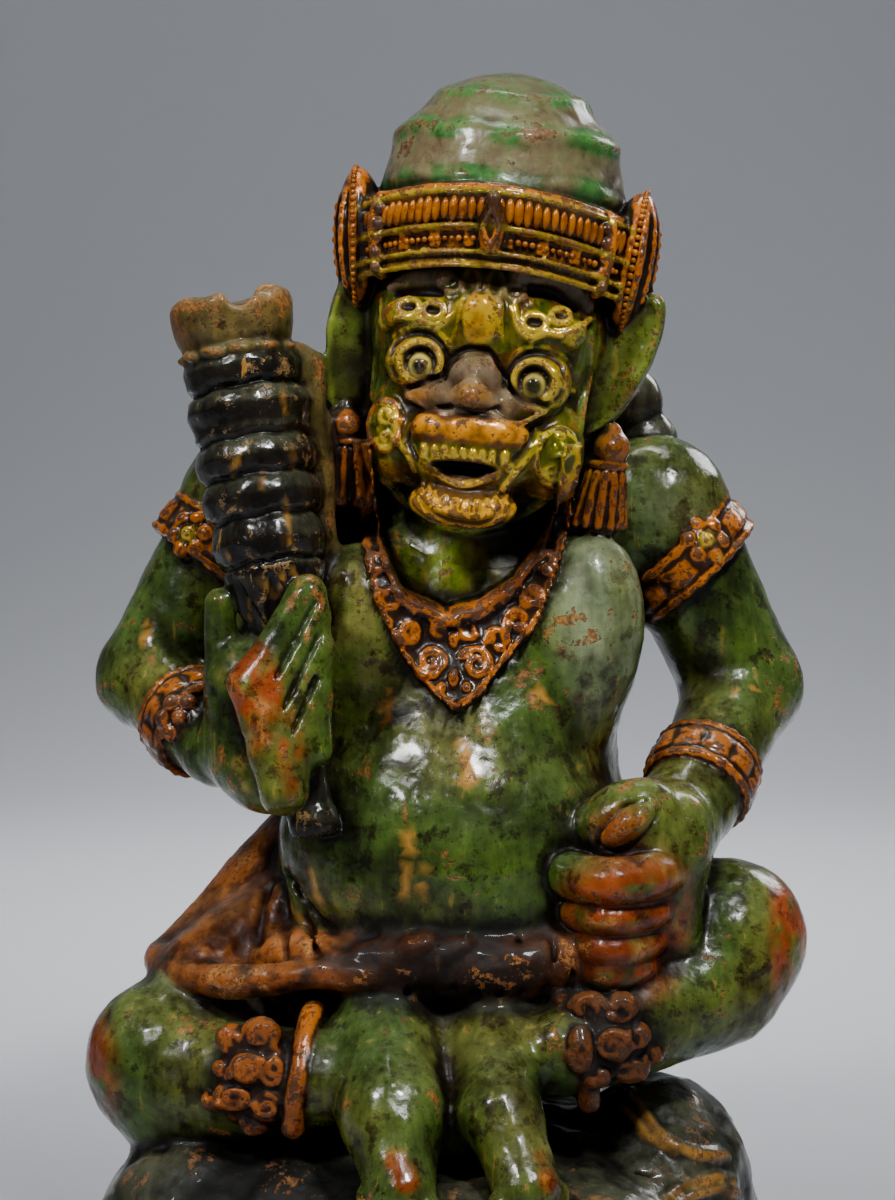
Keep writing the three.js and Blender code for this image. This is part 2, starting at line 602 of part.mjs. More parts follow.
function carveCollar(block) {
  block.lift(new THREE.Box3(at(-31, -64, 130), at(43, 20, 214)), (x, y, z) => {
    const [u, h] = [x / scale, (z - ROCK_HEIGHT) / scale];
    const inside = Math.min(h - edgeAt(COLLAR_LOW, u), edgeAt(COLLAR_HIGH, u) - h);
    return COLLAR_THICKNESS * Math.min(1, Math.max(0, inside / COLLAR_EDGE + 0.5));
  });
}

function carveJewellery(block) {
  carveCollar(block);
  const worn = ([from, to, ra, rb], share, width, loose = 0, tilt = 0) => {
    const middle = from.clone().lerp(to, share);
    const axis = to.clone().sub(from).applyAxisAngle(new THREE.Vector3(0, 1, 0), tilt);
    return band(middle, axis, ra + (rb - ra) * share + loose, BAND_THICKNESS, width);
  };
  block.add(worn(LIMBS.forearmLeft, 0.8, BAND_WIDTH * 1.1), 1);
  block.add(worn(LIMBS.forearmRight, 0.66, BAND_WIDTH), 1);
  block.add(worn(LIMBS.upperArmLeft, 0.29, BAND_WIDTH, 1.5, -0.3), 1);
  block.add(worn(LIMBS.upperArmRight, 0.3, BAND_WIDTH, 1, 0.15), 1);
  const anklets = [
    [at(-40, -49, 38), at(-43, -66, 36), at(-46, -80, 20), at(-48, -76, 4)],
    [at(34, -50, 44), at(36, -66, 42), at(42, -80, 28), at(44, -74, 12)],
  ];
  for (const line of anklets) block.add(strand(line, BAND_THICKNESS * 1.2, BAND_THICKNESS * 1.27, 12), 1.5);
  const leaves = [[-6, -10, 7.5], [4, -3, 7], [-4, 9, 8], [5, 12, 6]]; // across, up, radius
  for (const [[knee, ankle], s, share] of [[LIMBS.shinRight, -1, 0.62], [LIMBS.shinLeft, 1, 0.7]]) {
    const middle = knee.clone().lerp(ankle, share);
    for (const [x, z, r] of leaves)
      block.add(oval(middle.clone().add(size(s * x, -15, z)), r, 6, r * 0.8), 2);
  }
}

// Surface of the block: one vertex in each cell that the surface crosses, one quad on each crossed edge

const CORNERS = [[0, 0, 0], [1, 0, 0], [0, 1, 0], [1, 1, 0], [0, 0, 1], [1, 0, 1], [0, 1, 1], [1, 1, 1]];
const EDGES = [1, 2, 4].flatMap((bit) =>
  CORNERS.map((_, corner) => [corner, corner | bit]).filter(([a, b]) => a !== b),
);

// In each cell the wood must hang together along the cell's edges, and so must the air. Where it
// does not, two skins would touch at a point, so the air corner nearest the wood is filled.
function hangsTogether(mask) {
  const first = mask & -mask;
  let seen = first;
  for (let grown = true; grown; ) {
    grown = false;
    for (const [a, b] of EDGES) {
      const pair = (1 << a) | (1 << b);
      if ((mask & pair) === pair && seen & pair && (seen & pair) !== pair) {
        seen |= pair;
        grown = true;
      }
    }
  }
  return seen === mask;
}

const FILL_DEPTH = 0.1; // in grid steps

function fillPinches(block) {
  const { grid, count, step } = block;
  const offsets = CORNERS.map(([i, j, k]) => block.index(i, j, k));
  const sound = Array.from({ length: 256 }, (_, mask) => hangsTogether(mask) && hangsTogether(255 ^ mask));
  for (let filled = true; filled; ) {
    filled = false;
    for (let k = 0; k < count[2] - 1; k++)
      for (let j = 0; j < count[1] - 1; j++)
        for (let i = 0; i < count[0] - 1; i++) {
          const n = block.index(i, j, k);
          let mask = 0;
          offsets.forEach((o, corner) => (mask |= grid[n + o] < 0 ? 1 << corner : 0));
          if (sound[mask]) continue;
          const air = offsets.filter((o) => grid[n + o] >= 0);
          const nearest = air.reduce((best, o) => (grid[n + o] < grid[n + best] ? o : best));
          grid[n + nearest] = -FILL_DEPTH * step;
          filled = true;
        }
  }
}

function surfaceOf(block) {
  const { grid, count, step, from } = block;
  const positions = [];
  const vertexOf = new Map();
  const offsets = CORNERS.map(([i, j, k]) => block.index(i, j, k));
  for (let k = 0; k < count[2] - 1; k++)
    for (let j = 0; j < count[1] - 1; j++)
      for (let i = 0; i < count[0] - 1; i++) {
        const n = block.index(i, j, k);
        let inside = 0;
        for (const o of offsets) if (grid[n + o] < 0) inside++;
        if (inside === 0 || inside === 8) continue;
        const sum = [0, 0, 0];
        let crossed = 0;
        for (const [a, b] of EDGES) {
          const [da, db] = [grid[n + offsets[a]], grid[n + offsets[b]]];
          if (da < 0 === db < 0) continue;
          const t = da / (da - db);
          for (let axis = 0; axis < 3; axis++)
            sum[axis] += CORNERS[a][axis] + (CORNERS[b][axis] - CORNERS[a][axis]) * t;
          crossed++;
        }
        vertexOf.set(n, positions.length / 3);
        positions.push(
          from.x + (i + sum[0] / crossed) * step,
          from.y + (j + sum[1] / crossed) * step,
          from.z + (k + sum[2] / crossed) * step,
        );
      }
  const triangles = [];
  const stride = [1, count[0], count[0] * count[1]];
  for (const n of vertexOf.keys())
    for (let axis = 0; axis < 3; axis++) {
      const [u, v] = [stride[(axis + 1) % 3], stride[(axis + 2) % 3]];
      const inside = grid[n] < 0;
      if (inside === grid[n + stride[axis]] < 0) continue;
      const ring = [n, n - u, n - u - v, n - v].map((cell) => vertexOf.get(cell));
      if (ring.includes(undefined)) continue;
      if (!inside) ring.reverse();
      triangles.push(ring[0], ring[1], ring[2], ring[0], ring[2], ring[3]);
    }
  return { positions, triangles };
}

// Thinning by edge collapse. Each vertex keeps the sum of the squared distances to the planes of its
// faces, and the edge whose loss moves the skin least goes first. The face counts more than the rest.

const FACE_WEIGHT = 5;
const FACE_REACH = 60; // from the tip of the nose to where nothing counts more
const EDGE_COST = 0.002; // keeps flat places from collapsing into slivers
const FOLD_LIMIT = 0.25; // least cosine between a face before and after
const SLIVER = 0.05; // least double area of a face
const LEAP = 10; // farthest that a best point may lie from its edge
const SINGULAR = 1e-6;

function weightAt(x, y, z) {
  const face = own(0, -40, 0).applyMatrix4(headMatrix);
  const away = Math.hypot(x - face.x, y - face.y, z - face.z) / (FACE_REACH * scale);
  return 1 + (FACE_WEIGHT - 1) * Math.max(0, 1 - away ** 2);
}

// The sum kept at a vertex: a symmetric 3 x 3 matrix, a vector and a constant, in one row of ten
function planeSum(p, a, b, c) {
  const [u, v] = [b, c].map((i) => new THREE.Vector3(p[i] - p[a], p[i + 1] - p[a + 1], p[i + 2] - p[a + 2]));
  const n = u.cross(v);
  const area = n.length() || SINGULAR;
  n.divideScalar(area);
  const d = -(n.x * p[a] + n.y * p[a + 1] + n.z * p[a + 2]);
  const plane = [n.x, n.y, n.z, d];
  const weight = area * weightAt(p[a], p[a + 1], p[a + 2]);
  return plane.flatMap((u, i) => plane.slice(i).map((v) => u * v * weight));
}

function distanceSum(q, x, y, z) {
  const squares = q[0] * x * x + q[4] * y * y + q[7] * z * z + q[9];
  return squares + 2 * (q[1] * x * y + q[2] * x * z + q[3] * x + q[5] * y * z + q[6] * y + q[8] * z);
}

// The point with the least sum, or null where the faces are too flat to fix one
function bestPoint(q) {
  const minor = [q[4] * q[7] - q[5] * q[5], q[1] * q[7] - q[5] * q[2], q[1] * q[5] - q[4] * q[2]];
  const det = q[0] * minor[0] - q[1] * minor[1] + q[2] * minor[2];
  if (Math.abs(det) < SINGULAR * (q[0] + q[4] + q[7]) ** 3) return null;
  const [g, h, k] = [q[6] * q[7] - q[5] * q[8], q[6] * q[5] - q[4] * q[8], q[1] * q[8] - q[6] * q[2]];
  return [
    -(q[3] * minor[0] - q[1] * g + q[2] * h) / det,
    -(q[0] * g - q[3] * minor[1] + q[2] * k) / det,
    -(q[0] * -h - q[1] * k + q[3] * minor[2]) / det,
  ];
}

// A heap whose cheapest item comes off first
class Heap {
  items = [];

  push(item) {
    const h = this.items;
    let i = h.push(item) - 1;
    while (i > 0) {
      const up = (i - 1) >> 1;
      if (h[up].cost <= h[i].cost) break;
      [h[up], h[i]] = [h[i], h[up]];
      i = up;
    }
  }

  pop() {
    const h = this.items;
    const top = h[0];
    const last = h.pop();
    if (h.length === 0) return top;
    h[0] = last;
    for (let i = 0, down = 1; down < h.length; down = 2 * i + 1) {
      if (down + 1 < h.length && h[down + 1].cost < h[down].cost) down++;
      if (h[i].cost <= h[down].cost) break;
      [h[down], h[i]] = [h[i], h[down]];
      i = down;
    }
    return top;
  }
}

function thin({ positions, triangles }, target) {
  const p = Float64Array.from(positions);
  const faces = [];
  for (let i = 0; i < triangles.length; i += 3) faces.push(triangles.slice(i, i + 3));
  const facesOf = Array.from({ length: p.length / 3 }, () => new Set());
  const sums = Array.from({ length: p.length / 3 }, () => new Array(10).fill(0));
  faces.forEach((face, i) => {
    const sum = planeSum(p, face[0] * 3, face[1] * 3, face[2] * 3);
    for (const v of face) {
      facesOf[v].add(i);
      sum.forEach((value, k) => (sums[v][k] += value));
    }
  });
  const version = new Int32Array(p.length / 3);
  const heap = new Heap();

  const neighbours = (v) => {
    const near = new Set();
    for (const f of facesOf[v]) for (const w of faces[f]) if (w !== v) near.add(w);
    return near;
  };

  const offer = (a, b) => {
    const q = sums[a].map((value, i) => value + sums[b][i]);
    const [i, j] = [a * 3, b * 3];
    const middle = [0, 1, 2].map((k) => (p[i + k] + p[j + k]) / 2);
    const choices = [middle, [p[i], p[i + 1], p[i + 2]], [p[j], p[j + 1], p[j + 2]]];
    const best = bestPoint(q);
    if (best && Math.hypot(...best.map((x, k) => x - middle[k])) < LEAP) choices.unshift(best);
    const costs = choices.map((c) => distanceSum(q, ...c));
    const n = costs.indexOf(Math.min(...costs));
    const length = Math.hypot(p[i] - p[j], p[i + 1] - p[j + 1], p[i + 2] - p[j + 2]);
    const cost = costs[n] + EDGE_COST * length ** 2;
    heap.push({ a, b, to: choices[n], cost, stamp: version[a] + version[b] });
  };

  // Whether moving a vertex would turn one of its faces over
  const folds = (v, other, to) => {
    for (const i of facesOf[v]) {
      const f = faces[i];
      if (f.includes(other)) continue;
      const [r, s] = [f[(f.indexOf(v) + 1) % 3] * 3, f[(f.indexOf(v) + 2) % 3] * 3];
      const normal = ([x, y, z]) => {
        const [ux, uy, uz] = [p[r] - x, p[r + 1] - y, p[r + 2] - z];
        const [vx, vy, vz] = [p[s] - x, p[s + 1] - y, p[s + 2] - z];
        return [uy * vz - uz * vy, uz * vx - ux * vz, ux * vy - uy * vx];
      };
      const [o, n] = [normal([p[v * 3], p[v * 3 + 1], p[v * 3 + 2]]), normal(to)];
      const dot = o[0] * n[0] + o[1] * n[1] + o[2] * n[2];
      const size = Math.hypot(...n);
      if (size < SLIVER || dot < FOLD_LIMIT * Math.hypot(...o) * size) return true;
    }
    return false;
  };

  const collapse = (a, b, to) => {
    for (const i of facesOf[b]) {
      const f = faces[i];
      if (f.includes(a)) {
        for (const v of f) if (v !== b) facesOf[v].delete(i);
        faces[i] = null;
      } else {
        f[f.indexOf(b)] = a;
        facesOf[a].add(i);
      }
    }
    facesOf[b] = null;
    sums[b].forEach((value, k) => (sums[a][k] += value));
    p.set(to, a * 3);
    version[a]++;
    for (const v of neighbours(a)) offer(a, v);
  };

  for (let v = 0; v < facesOf.length; v++) for (const w of neighbours(v)) if (v < w) offer(v, w);
  for (let left = faces.length; left > target && heap.items.length; ) {
    const { a, b, to, stamp } = heap.pop();
    if (!facesOf[a] || !facesOf[b] || version[a] + version[b] !== stamp) continue;
    const near = neighbours(b);
    const shared = [...neighbours(a)].filter((v) => near.has(v)).length;
    if (shared !== 2 || folds(a, b, to) || folds(b, a, to)) continue;
    collapse(a, b, to);
    left -= 2;
  }
  return { positions: p, triangles: faces.filter(Boolean).flat() };
}

// From the thinned surface to a solid, and back to a geometry

const wasm = await Module();
wasm.setup();

function solidOf(geometry) {
  return new wasm.Manifold(
    new wasm.Mesh({
      numProp: 3,
      vertProperties: new Float32Array(geometry.getAttribute("position").array),
      triVerts: new Uint32Array(geometry.index.array),
    }),
  );
}

function geometryOf(solid) {
  const mesh = solid.getMesh();
  const vertices = new Float32Array(mesh.numVert * 3);
  for (let i = 0; i < mesh.numVert; i++)
    vertices.set(mesh.vertProperties.subarray(i * mesh.numProp, i * mesh.numProp + 3), i * 3);
  const geometry = new THREE.BufferGeometry();
  geometry.setAttribute("position", new THREE.BufferAttribute(vertices, 3));
  geometry.setIndex(new THREE.BufferAttribute(mesh.triVerts, 1));
  geometry.computeVertexNormals();
  return geometry;
}

const ROOM = 10; // air left in the grid round the figure and the rock
const BLOCK_TOP = 336; // just above the crown of the cap
const CRISP = 0.1; // blend of an edge that the saw takes off

function carveGuardian() {
  const rock = new THREE.Vector3(ROCK_LENGTH / 2, ROCK_DEPTH / 2, 0);
  const reach = new THREE.Box3(ROCK_MIDDLE.clone().sub(rock), ROCK_MIDDLE.clone().add(rock))
    .union(new THREE.Box3(at(-118, -122, 0), at(122, 70, BLOCK_TOP)))
    .expandByScalar(ROOM);
  reach.min.z = -SAW_MARGIN;
  const block = new Block(reach, GRID_STEP);
  carveRock(block);
  carveTrunk(block);
  carveLegs(block);
  carveCloth(block);
  carveArms(block);
  carveHair(block);
  carveHead(block);
  carveCap(block);
  carveDiadem(block);
  carveClub(block);
  carveClubHand(block);
  carveRestingHand(block);
  carveJewellery(block);
  const outside = { box: reach, far: (x, y, z) => z + SAW_MARGIN };
  block.cut(outside, CRISP);
  fillPinches(block);
  const { positions, triangles } = thin(surfaceOf(block), TRIANGLES);
  const surface = new THREE.BufferGeometry();
  surface.setAttribute("position", new THREE.BufferAttribute(new Float32Array(positions), 3));
  surface.setIndex(triangles);
  const span = 4 * (ROCK_LENGTH + ROCK_DEPTH);
  const below = new THREE.BoxGeometry(span, span, span).translate(0, 0, -span / 2);
  below.deleteAttribute("normal");
  below.deleteAttribute("uv");
  const pieces = solidOf(surface).subtract(solidOf(mergeVertices(below))).decompose();
  return pieces.reduce((most, piece) => (piece.volume() > most.volume() ? piece : most));
}

const geometry = geometryOf(carveGuardian());
geometry.computeBoundingBox();
const middle = geometry.boundingBox.getCenter(new THREE.Vector3());
geometry.translate(-middle.x, -middle.y, 0);

const paintedWood = new THREE.MeshStandardMaterial({ color: 0x41592b, roughness: 0.42, metalness: 0 });
const figure = new THREE.Mesh(geometry, paintedWood);
figure.name = "guardian_figure";

const guardian = new THREE.Group();
guardian.add(figure);

export default guardian;
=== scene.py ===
# %% [markdown]
# # A temple guardian in painted wood
#
# The real figure is carved from one block of wood, painted in oils, gilded in places and varnished.
# Its fine carving is far smaller than the plain solid can hold, so the skin is carved again here,
# finer, from the same forms. The frame loads first, because it gives the size and the place.

# %% Load the frame
import math
import time

import bpy
import numpy as np
from mathutils import Matrix, Vector


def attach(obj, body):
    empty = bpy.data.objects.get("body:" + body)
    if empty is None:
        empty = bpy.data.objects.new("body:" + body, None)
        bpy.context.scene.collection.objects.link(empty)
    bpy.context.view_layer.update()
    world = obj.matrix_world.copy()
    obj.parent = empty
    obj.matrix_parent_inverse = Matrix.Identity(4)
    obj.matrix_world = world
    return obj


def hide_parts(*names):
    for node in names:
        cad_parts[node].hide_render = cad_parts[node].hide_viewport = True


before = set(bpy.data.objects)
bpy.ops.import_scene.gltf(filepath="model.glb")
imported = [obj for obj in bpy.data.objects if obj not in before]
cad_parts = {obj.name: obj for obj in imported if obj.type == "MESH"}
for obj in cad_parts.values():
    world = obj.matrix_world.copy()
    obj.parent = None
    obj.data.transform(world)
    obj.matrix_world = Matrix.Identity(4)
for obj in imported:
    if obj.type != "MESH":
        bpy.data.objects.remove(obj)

NODE = "guardian_figure"
FULL_TURN = 2 * math.pi
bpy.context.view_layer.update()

# %% [markdown]
# ## Measures
#
# All carving is written in millimetres on a figure 332 high with its seat at zero. `at` brings such
# a point to the real figure, above its rock. `on_head` does the same for points of the head, whose
# frame is rolled and turned a little: x to the figure's left, y to the back, z to the crown.

# %% Measures
FIGURE_HEIGHT, DRAWN_HEIGHT = 334.0, 332.0
SCALE = FIGURE_HEIGHT / DRAWN_HEIGHT
ROCK_HEIGHT, ROCK_LENGTH, ROCK_DEPTH = 66.0, 224.0, 186.0
CLUB_LENGTH, CLUB_RADIUS, GRIP_RADIUS = 175.0, 19.5, 6.6
FINGER_RADIUS, HEM_RADIUS = 6.6, 5.0
TO_FRAME = np.array([-0.85, 22.6, 0.0])  # from the carver's bench to the frame's middle


def at(x, y, z):
    return np.array([x * SCALE, y * SCALE, ROCK_HEIGHT + z * SCALE])


def size(x, y, z):
    return np.array([x, y, z]) * SCALE


HEAD_CENTRE = at(12, -12, 234)
HEAD_TURN = np.array((Matrix.Rotation(math.radians(-4.5), 3, "Z") @ Matrix.Rotation(math.radians(5), 3, "Y")))


def on_head(x, y, z):
    return HEAD_CENTRE + HEAD_TURN @ size(x, y, z)


BACK = np.array([0, 1.0, 0])  # the way the camera looks


P = {
    "hip_r": at(-32, 12, 38), "hip_l": at(34, 12, 42),
    "knee_r": at(-90, -34, 15), "knee_l": at(90, -25, 53),
    "calf_r": at(-86, -40, 9), "calf_l": at(86, -33, 42),
    "ankle_r": at(-40, -68, 18), "ankle_l": at(38, -68, 27),
    "shoulder_r": at(-65, 16, 193), "shoulder_l": at(70, 16, 191),
    "elbow_r": at(-98.5, 6, 135), "elbow_l": at(98.5, 18, 130),
    "wrist_r": at(-73, -34, 118), "wrist_l": at(79, -24, 99),
    "neck_base": at(4, 4, 166), "neck_top": at(9, -4, 198),
    "pommel": at(-41, -60, 93), "club_aim": at(-70, -25, 264),
}
LIMBS = {
    "upper_r": (P["shoulder_r"], P["elbow_r"], 21, 17),
    "upper_l": (P["shoulder_l"], P["elbow_l"], 21.5, 19.5),
    "fore_r": (P["elbow_r"], P["wrist_r"], 16.5, 13.5),
    "fore_l": (P["elbow_l"], P["wrist_l"], 18.5, 14.5),
    "thigh_r": (P["hip_r"], P["knee_r"], 33, 27),
    "thigh_l": (P["hip_l"], P["knee_l"], 33, 26.5),
    "shin_r": (P["calf_r"], P["ankle_r"], 22.5, 15),
    "shin_l": (P["calf_l"], P["ankle_l"], 22.5, 15),
}
print("figure", FIGURE_HEIGHT, "mm on a rock of", ROCK_HEIGHT, "mm, drawn at", round(SCALE, 4))

# %% [markdown]
# ## The camera
#
# The photograph looks straight at the figure from a little above, from about 1.15 m.

# %% Camera
TARGET = (np.array([0, 0, 228.0]) + TO_FRAME) / 1000
DISTANCE = 1.15
PITCH = math.radians(6)
MM_PER_PIXEL = 0.33
PHOTO_HEIGHT = 1200
camera_data = bpy.data.cameras.new("camera")
camera_data.sensor_fit = "VERTICAL"
camera_data.sensor_height = 36
camera_data.lens = 36 * DISTANCE / (MM_PER_PIXEL * PHOTO_HEIGHT / 1000)
camera = bpy.data.objects.new("camera", camera_data)
camera.location = Vector(TARGET) + DISTANCE * Vector((0, -math.cos(PITCH), math.sin(PITCH)))
camera.rotation_euler = (math.radians(90) - PITCH, 0, 0)
bpy.context.scene.collection.objects.link(camera)
bpy.context.scene.camera = camera
print("lens", round(camera_data.lens, 1), "mm")

# %% [markdown]
# ## Forms
#
# Carving could be sculpted by hand, but a rule is easier to correct. Each form is a function that
# gives the distance to its skin, below zero inside. Forms join with a soft minimum, which leaves
# the rounded fillet that a gouge leaves between two masses.

# %% Forms
NEAR = 1e-9


class Form:
    """A distance function and the box that holds it. A long form has parts, each with its own box."""

    def __init__(self, low, high, far=None, parts=None):
        self.low, self.high, self.far, self.parts = np.array(low, float), np.array(high, float), far, parts


def unit(values):
    """The values held between 0 and 1."""
    return np.clip(values, 0, 1)


def box_of(points, reach):
    points = np.array(points)
    return points.min(0) - reach, points.max(0) + reach


def limb(a, b, ra, rb=None):
    """A limb that tapers from a to b."""
    r0, r1 = ra * SCALE, (ra if rb is None else rb) * SCALE
    a, b = np.asarray(a, float), np.asarray(b, float)
    ab = b - a
    span = max(float(ab @ ab), NEAR)

    def far(x, y, z):
        px, py, pz = x - a[0], y - a[1], z - a[2]
        t = unit((px * ab[0] + py * ab[1] + pz * ab[2]) / span)
        px, py, pz = px - ab[0] * t, py - ab[1] * t, pz - ab[2] * t
        return np.sqrt(px * px + py * py + pz * pz) - r0 - (r1 - r0) * t

    return Form(*box_of([a, b], max(r0, r1)), far)


def smooth_line(points, steps):
    """A Catmull-Rom curve through the points."""
    points = [np.asarray(p, float) for p in points]
    ends = [2 * points[0] - points[1], *points, 2 * points[-1] - points[-2]]
    line = []
    for n in range(steps + 1):
        place = n / steps * (len(points) - 1)
        i = min(int(place), len(points) - 2)
        t = place - i
        p0, p1, p2, p3 = ends[i : i + 4]
        d0, d1, d2 = (max(np.linalg.norm(q - p), 1e-4) ** 0.5 for p, q in ((p0, p1), (p1, p2), (p2, p3)))
        m1 = ((p1 - p0) / d0 - (p2 - p0) / (d0 + d1) + (p2 - p1) / d1) * d1
        m2 = ((p2 - p1) / d1 - (p3 - p1) / (d1 + d2) + (p3 - p2) / d2) * d1
        a, b = 2 * p1 - 2 * p2 + m1 + m2, -3 * p1 + 3 * p2 - 2 * m1 - m2
        line.append(((a * t + b) * t + m1) * t + p1)
    return line


def together(parts):
    return Form(np.min([p.low for p in parts], 0), np.max([p.high for p in parts], 0), parts=parts)


def chain(points, thick):
    """Straight limbs from point to point."""
    return together([limb(p, q, thick) for p, q in zip(points, points[1:])])


def once_round(steps):
    """Angles of one full turn, the first again at its end."""
    return FULL_TURN * np.arange(steps + 1) / steps


def own_frame(turn, px, py, pz):
    """A point's coordinates in the frame of a turned thing."""
    return (turn[0][i] * px + turn[1][i] * py + turn[2][i] * pz for i in range(3))


def frame_about(axis, hint):
    """The unit axis and two unit vectors square to it."""
    along = np.asarray(axis, float) / np.linalg.norm(axis)
    side = np.cross(along, hint)
    side /= np.linalg.norm(side)
    return along, side, np.cross(side, along)


def strand(points, ra, rb=None, steps=10):
    """A rope along a smooth curve, its radius running from the first point to the last."""
    rb = ra if rb is None else rb
    line = smooth_line(points, steps)
    share = [n / steps for n in range(steps + 1)]
    return together([
        limb(line[n], line[n + 1], ra + (rb - ra) * share[n], ra + (rb - ra) * share[n + 1])
        for n in range(steps)
    ])


print("limbs and strands ready")

# %% Eggs, bands and rings
def oval(centre, rx, ry, rz, turn=None):
    """An egg, turned by a 3 by 3 matrix if one is given."""
    c = np.asarray(centre, float)
    a, b, d = rx * SCALE, ry * SCALE, rz * SCALE
    m = np.eye(3) if turn is None else np.asarray(turn)

    def far(x, y, z):
        px, py, pz = x - c[0], y - c[1], z - c[2]
        if turn is not None:
            px, py, pz = own_frame(m, px, py, pz)
        px, py, pz = px / a, py / b, pz / d
        near = np.sqrt(px * px + py * py + pz * pz)
        steep = np.sqrt(px * px / (a * a) + py * py / (b * b) + pz * pz / (d * d))
        return near * (near - 1) / np.maximum(steep, NEAR)

    reach = np.sqrt((np.abs(m) ** 2 @ np.array([a, b, d]) ** 2))
    return Form(c - reach, c + reach, far)


def turn_of(rx, ry, rz):
    """The turn about x, then y, then z of the thing's own frame."""
    return np.array(
        Matrix.Rotation(rx, 3, "X") @ Matrix.Rotation(ry, 3, "Y") @ Matrix.Rotation(rz, 3, "Z")
    )


def egg_far(place, radii):
    """About how far a place is from the skin of an egg round the origin."""
    near = np.sqrt(sum((p / r) ** 2 for p, r in zip(place, radii)))
    steep = np.sqrt(sum((p / r ** 2) ** 2 for p, r in zip(place, radii)))
    return near * (near - 1) / np.maximum(steep, NEAR)


def head_oval(x, y, z, rx, ry, rz, turn=None):
    return oval(on_head(x, y, z), rx, ry, rz, HEAD_TURN if turn is None else HEAD_TURN @ turn)


def head_frame(form_far, low, high):
    """A form whose distance is written in the head's own frame, in real millimetres."""
    corners = [
        HEAD_CENTRE + HEAD_TURN @ np.array([x, y, z])
        for x in (low[0], high[0]) for y in (low[1], high[1]) for z in (low[2], high[2])
    ]

    def far(x, y, z):
        px, py, pz = x - HEAD_CENTRE[0], y - HEAD_CENTRE[1], z - HEAD_CENTRE[2]
        return form_far(*own_frame(HEAD_TURN, px, py, pz))

    return Form(*box_of(corners, 0), far)


def about_axis(middle, axis):
    """Functions of a point: how far along the axis, how far out of it, and the angle round it."""
    along, side, front = frame_about(axis, BACK)

    def place(x, y, z):
        px, py, pz = x - middle[0], y - middle[1], z - middle[2]
        s = px * along[0] + py * along[1] + pz * along[2]
        u = px * side[0] + py * side[1] + pz * side[2]
        v = px * front[0] + py * front[1] + pz * front[2]
        return s, np.sqrt(u * u + v * v), np.arctan2(v, u)

    return place


def band(middle, axis, radius, thickness, width, relief=None):
    """A band worn round an axis. Its relief is a function of the place along and round it."""
    r, w, rounding = radius * SCALE, width / 2, thickness * 0.6
    place = about_axis(middle, axis)

    def far(x, y, z):
        s, out, angle = place(x, y, z)
        u, v = np.abs(out - r) - thickness + rounding, np.abs(s) - w + rounding
        d = np.hypot(np.maximum(u, 0), np.maximum(v, 0)) + np.minimum(np.maximum(u, v), 0) - rounding
        return d if relief is None else d - relief(s / w, angle)

    return Form(*box_of([middle], math.hypot(r + thickness + 2, w)), far)


def ring(middle, axis, radius, thick):
    """A closed rope round an axis."""
    _, side, up = frame_about(axis, [0, 0, 1])
    return chain([middle + (side * math.cos(a) * radius + up * math.sin(a) * radius) * SCALE
                  for a in once_round(24)], thick)


print("eggs, bands and rings ready")

# %% [markdown]
# ## The block
#
# The block keeps two grids: the distance to the carved skin, and the paint of the form that owns each
# place. A form that is joined brings its paint with it, so the borders of the paint fall exactly
# where the carving changes, as they do under a painter's brush.

# %% Block of wood
AIR = 60.0
KEEP = 6.0  # how far round a form the grid is still right, in millimetres

PAINTS = "skin cap leaf gilt lacquer cloth bare rock mouth pearl eye hair nose".split()
SKIN, CAP, LEAF, GILT, LACQUER, CLOTH, BARE, ROCK, MOUTH, PEARL, EYE, HAIR, NOSE = range(len(PAINTS))


def soft_least(a, b, k):
    h = np.maximum(k - np.abs(a - b), 0) / k
    return np.minimum(a, b) - h * h * (k / 4)


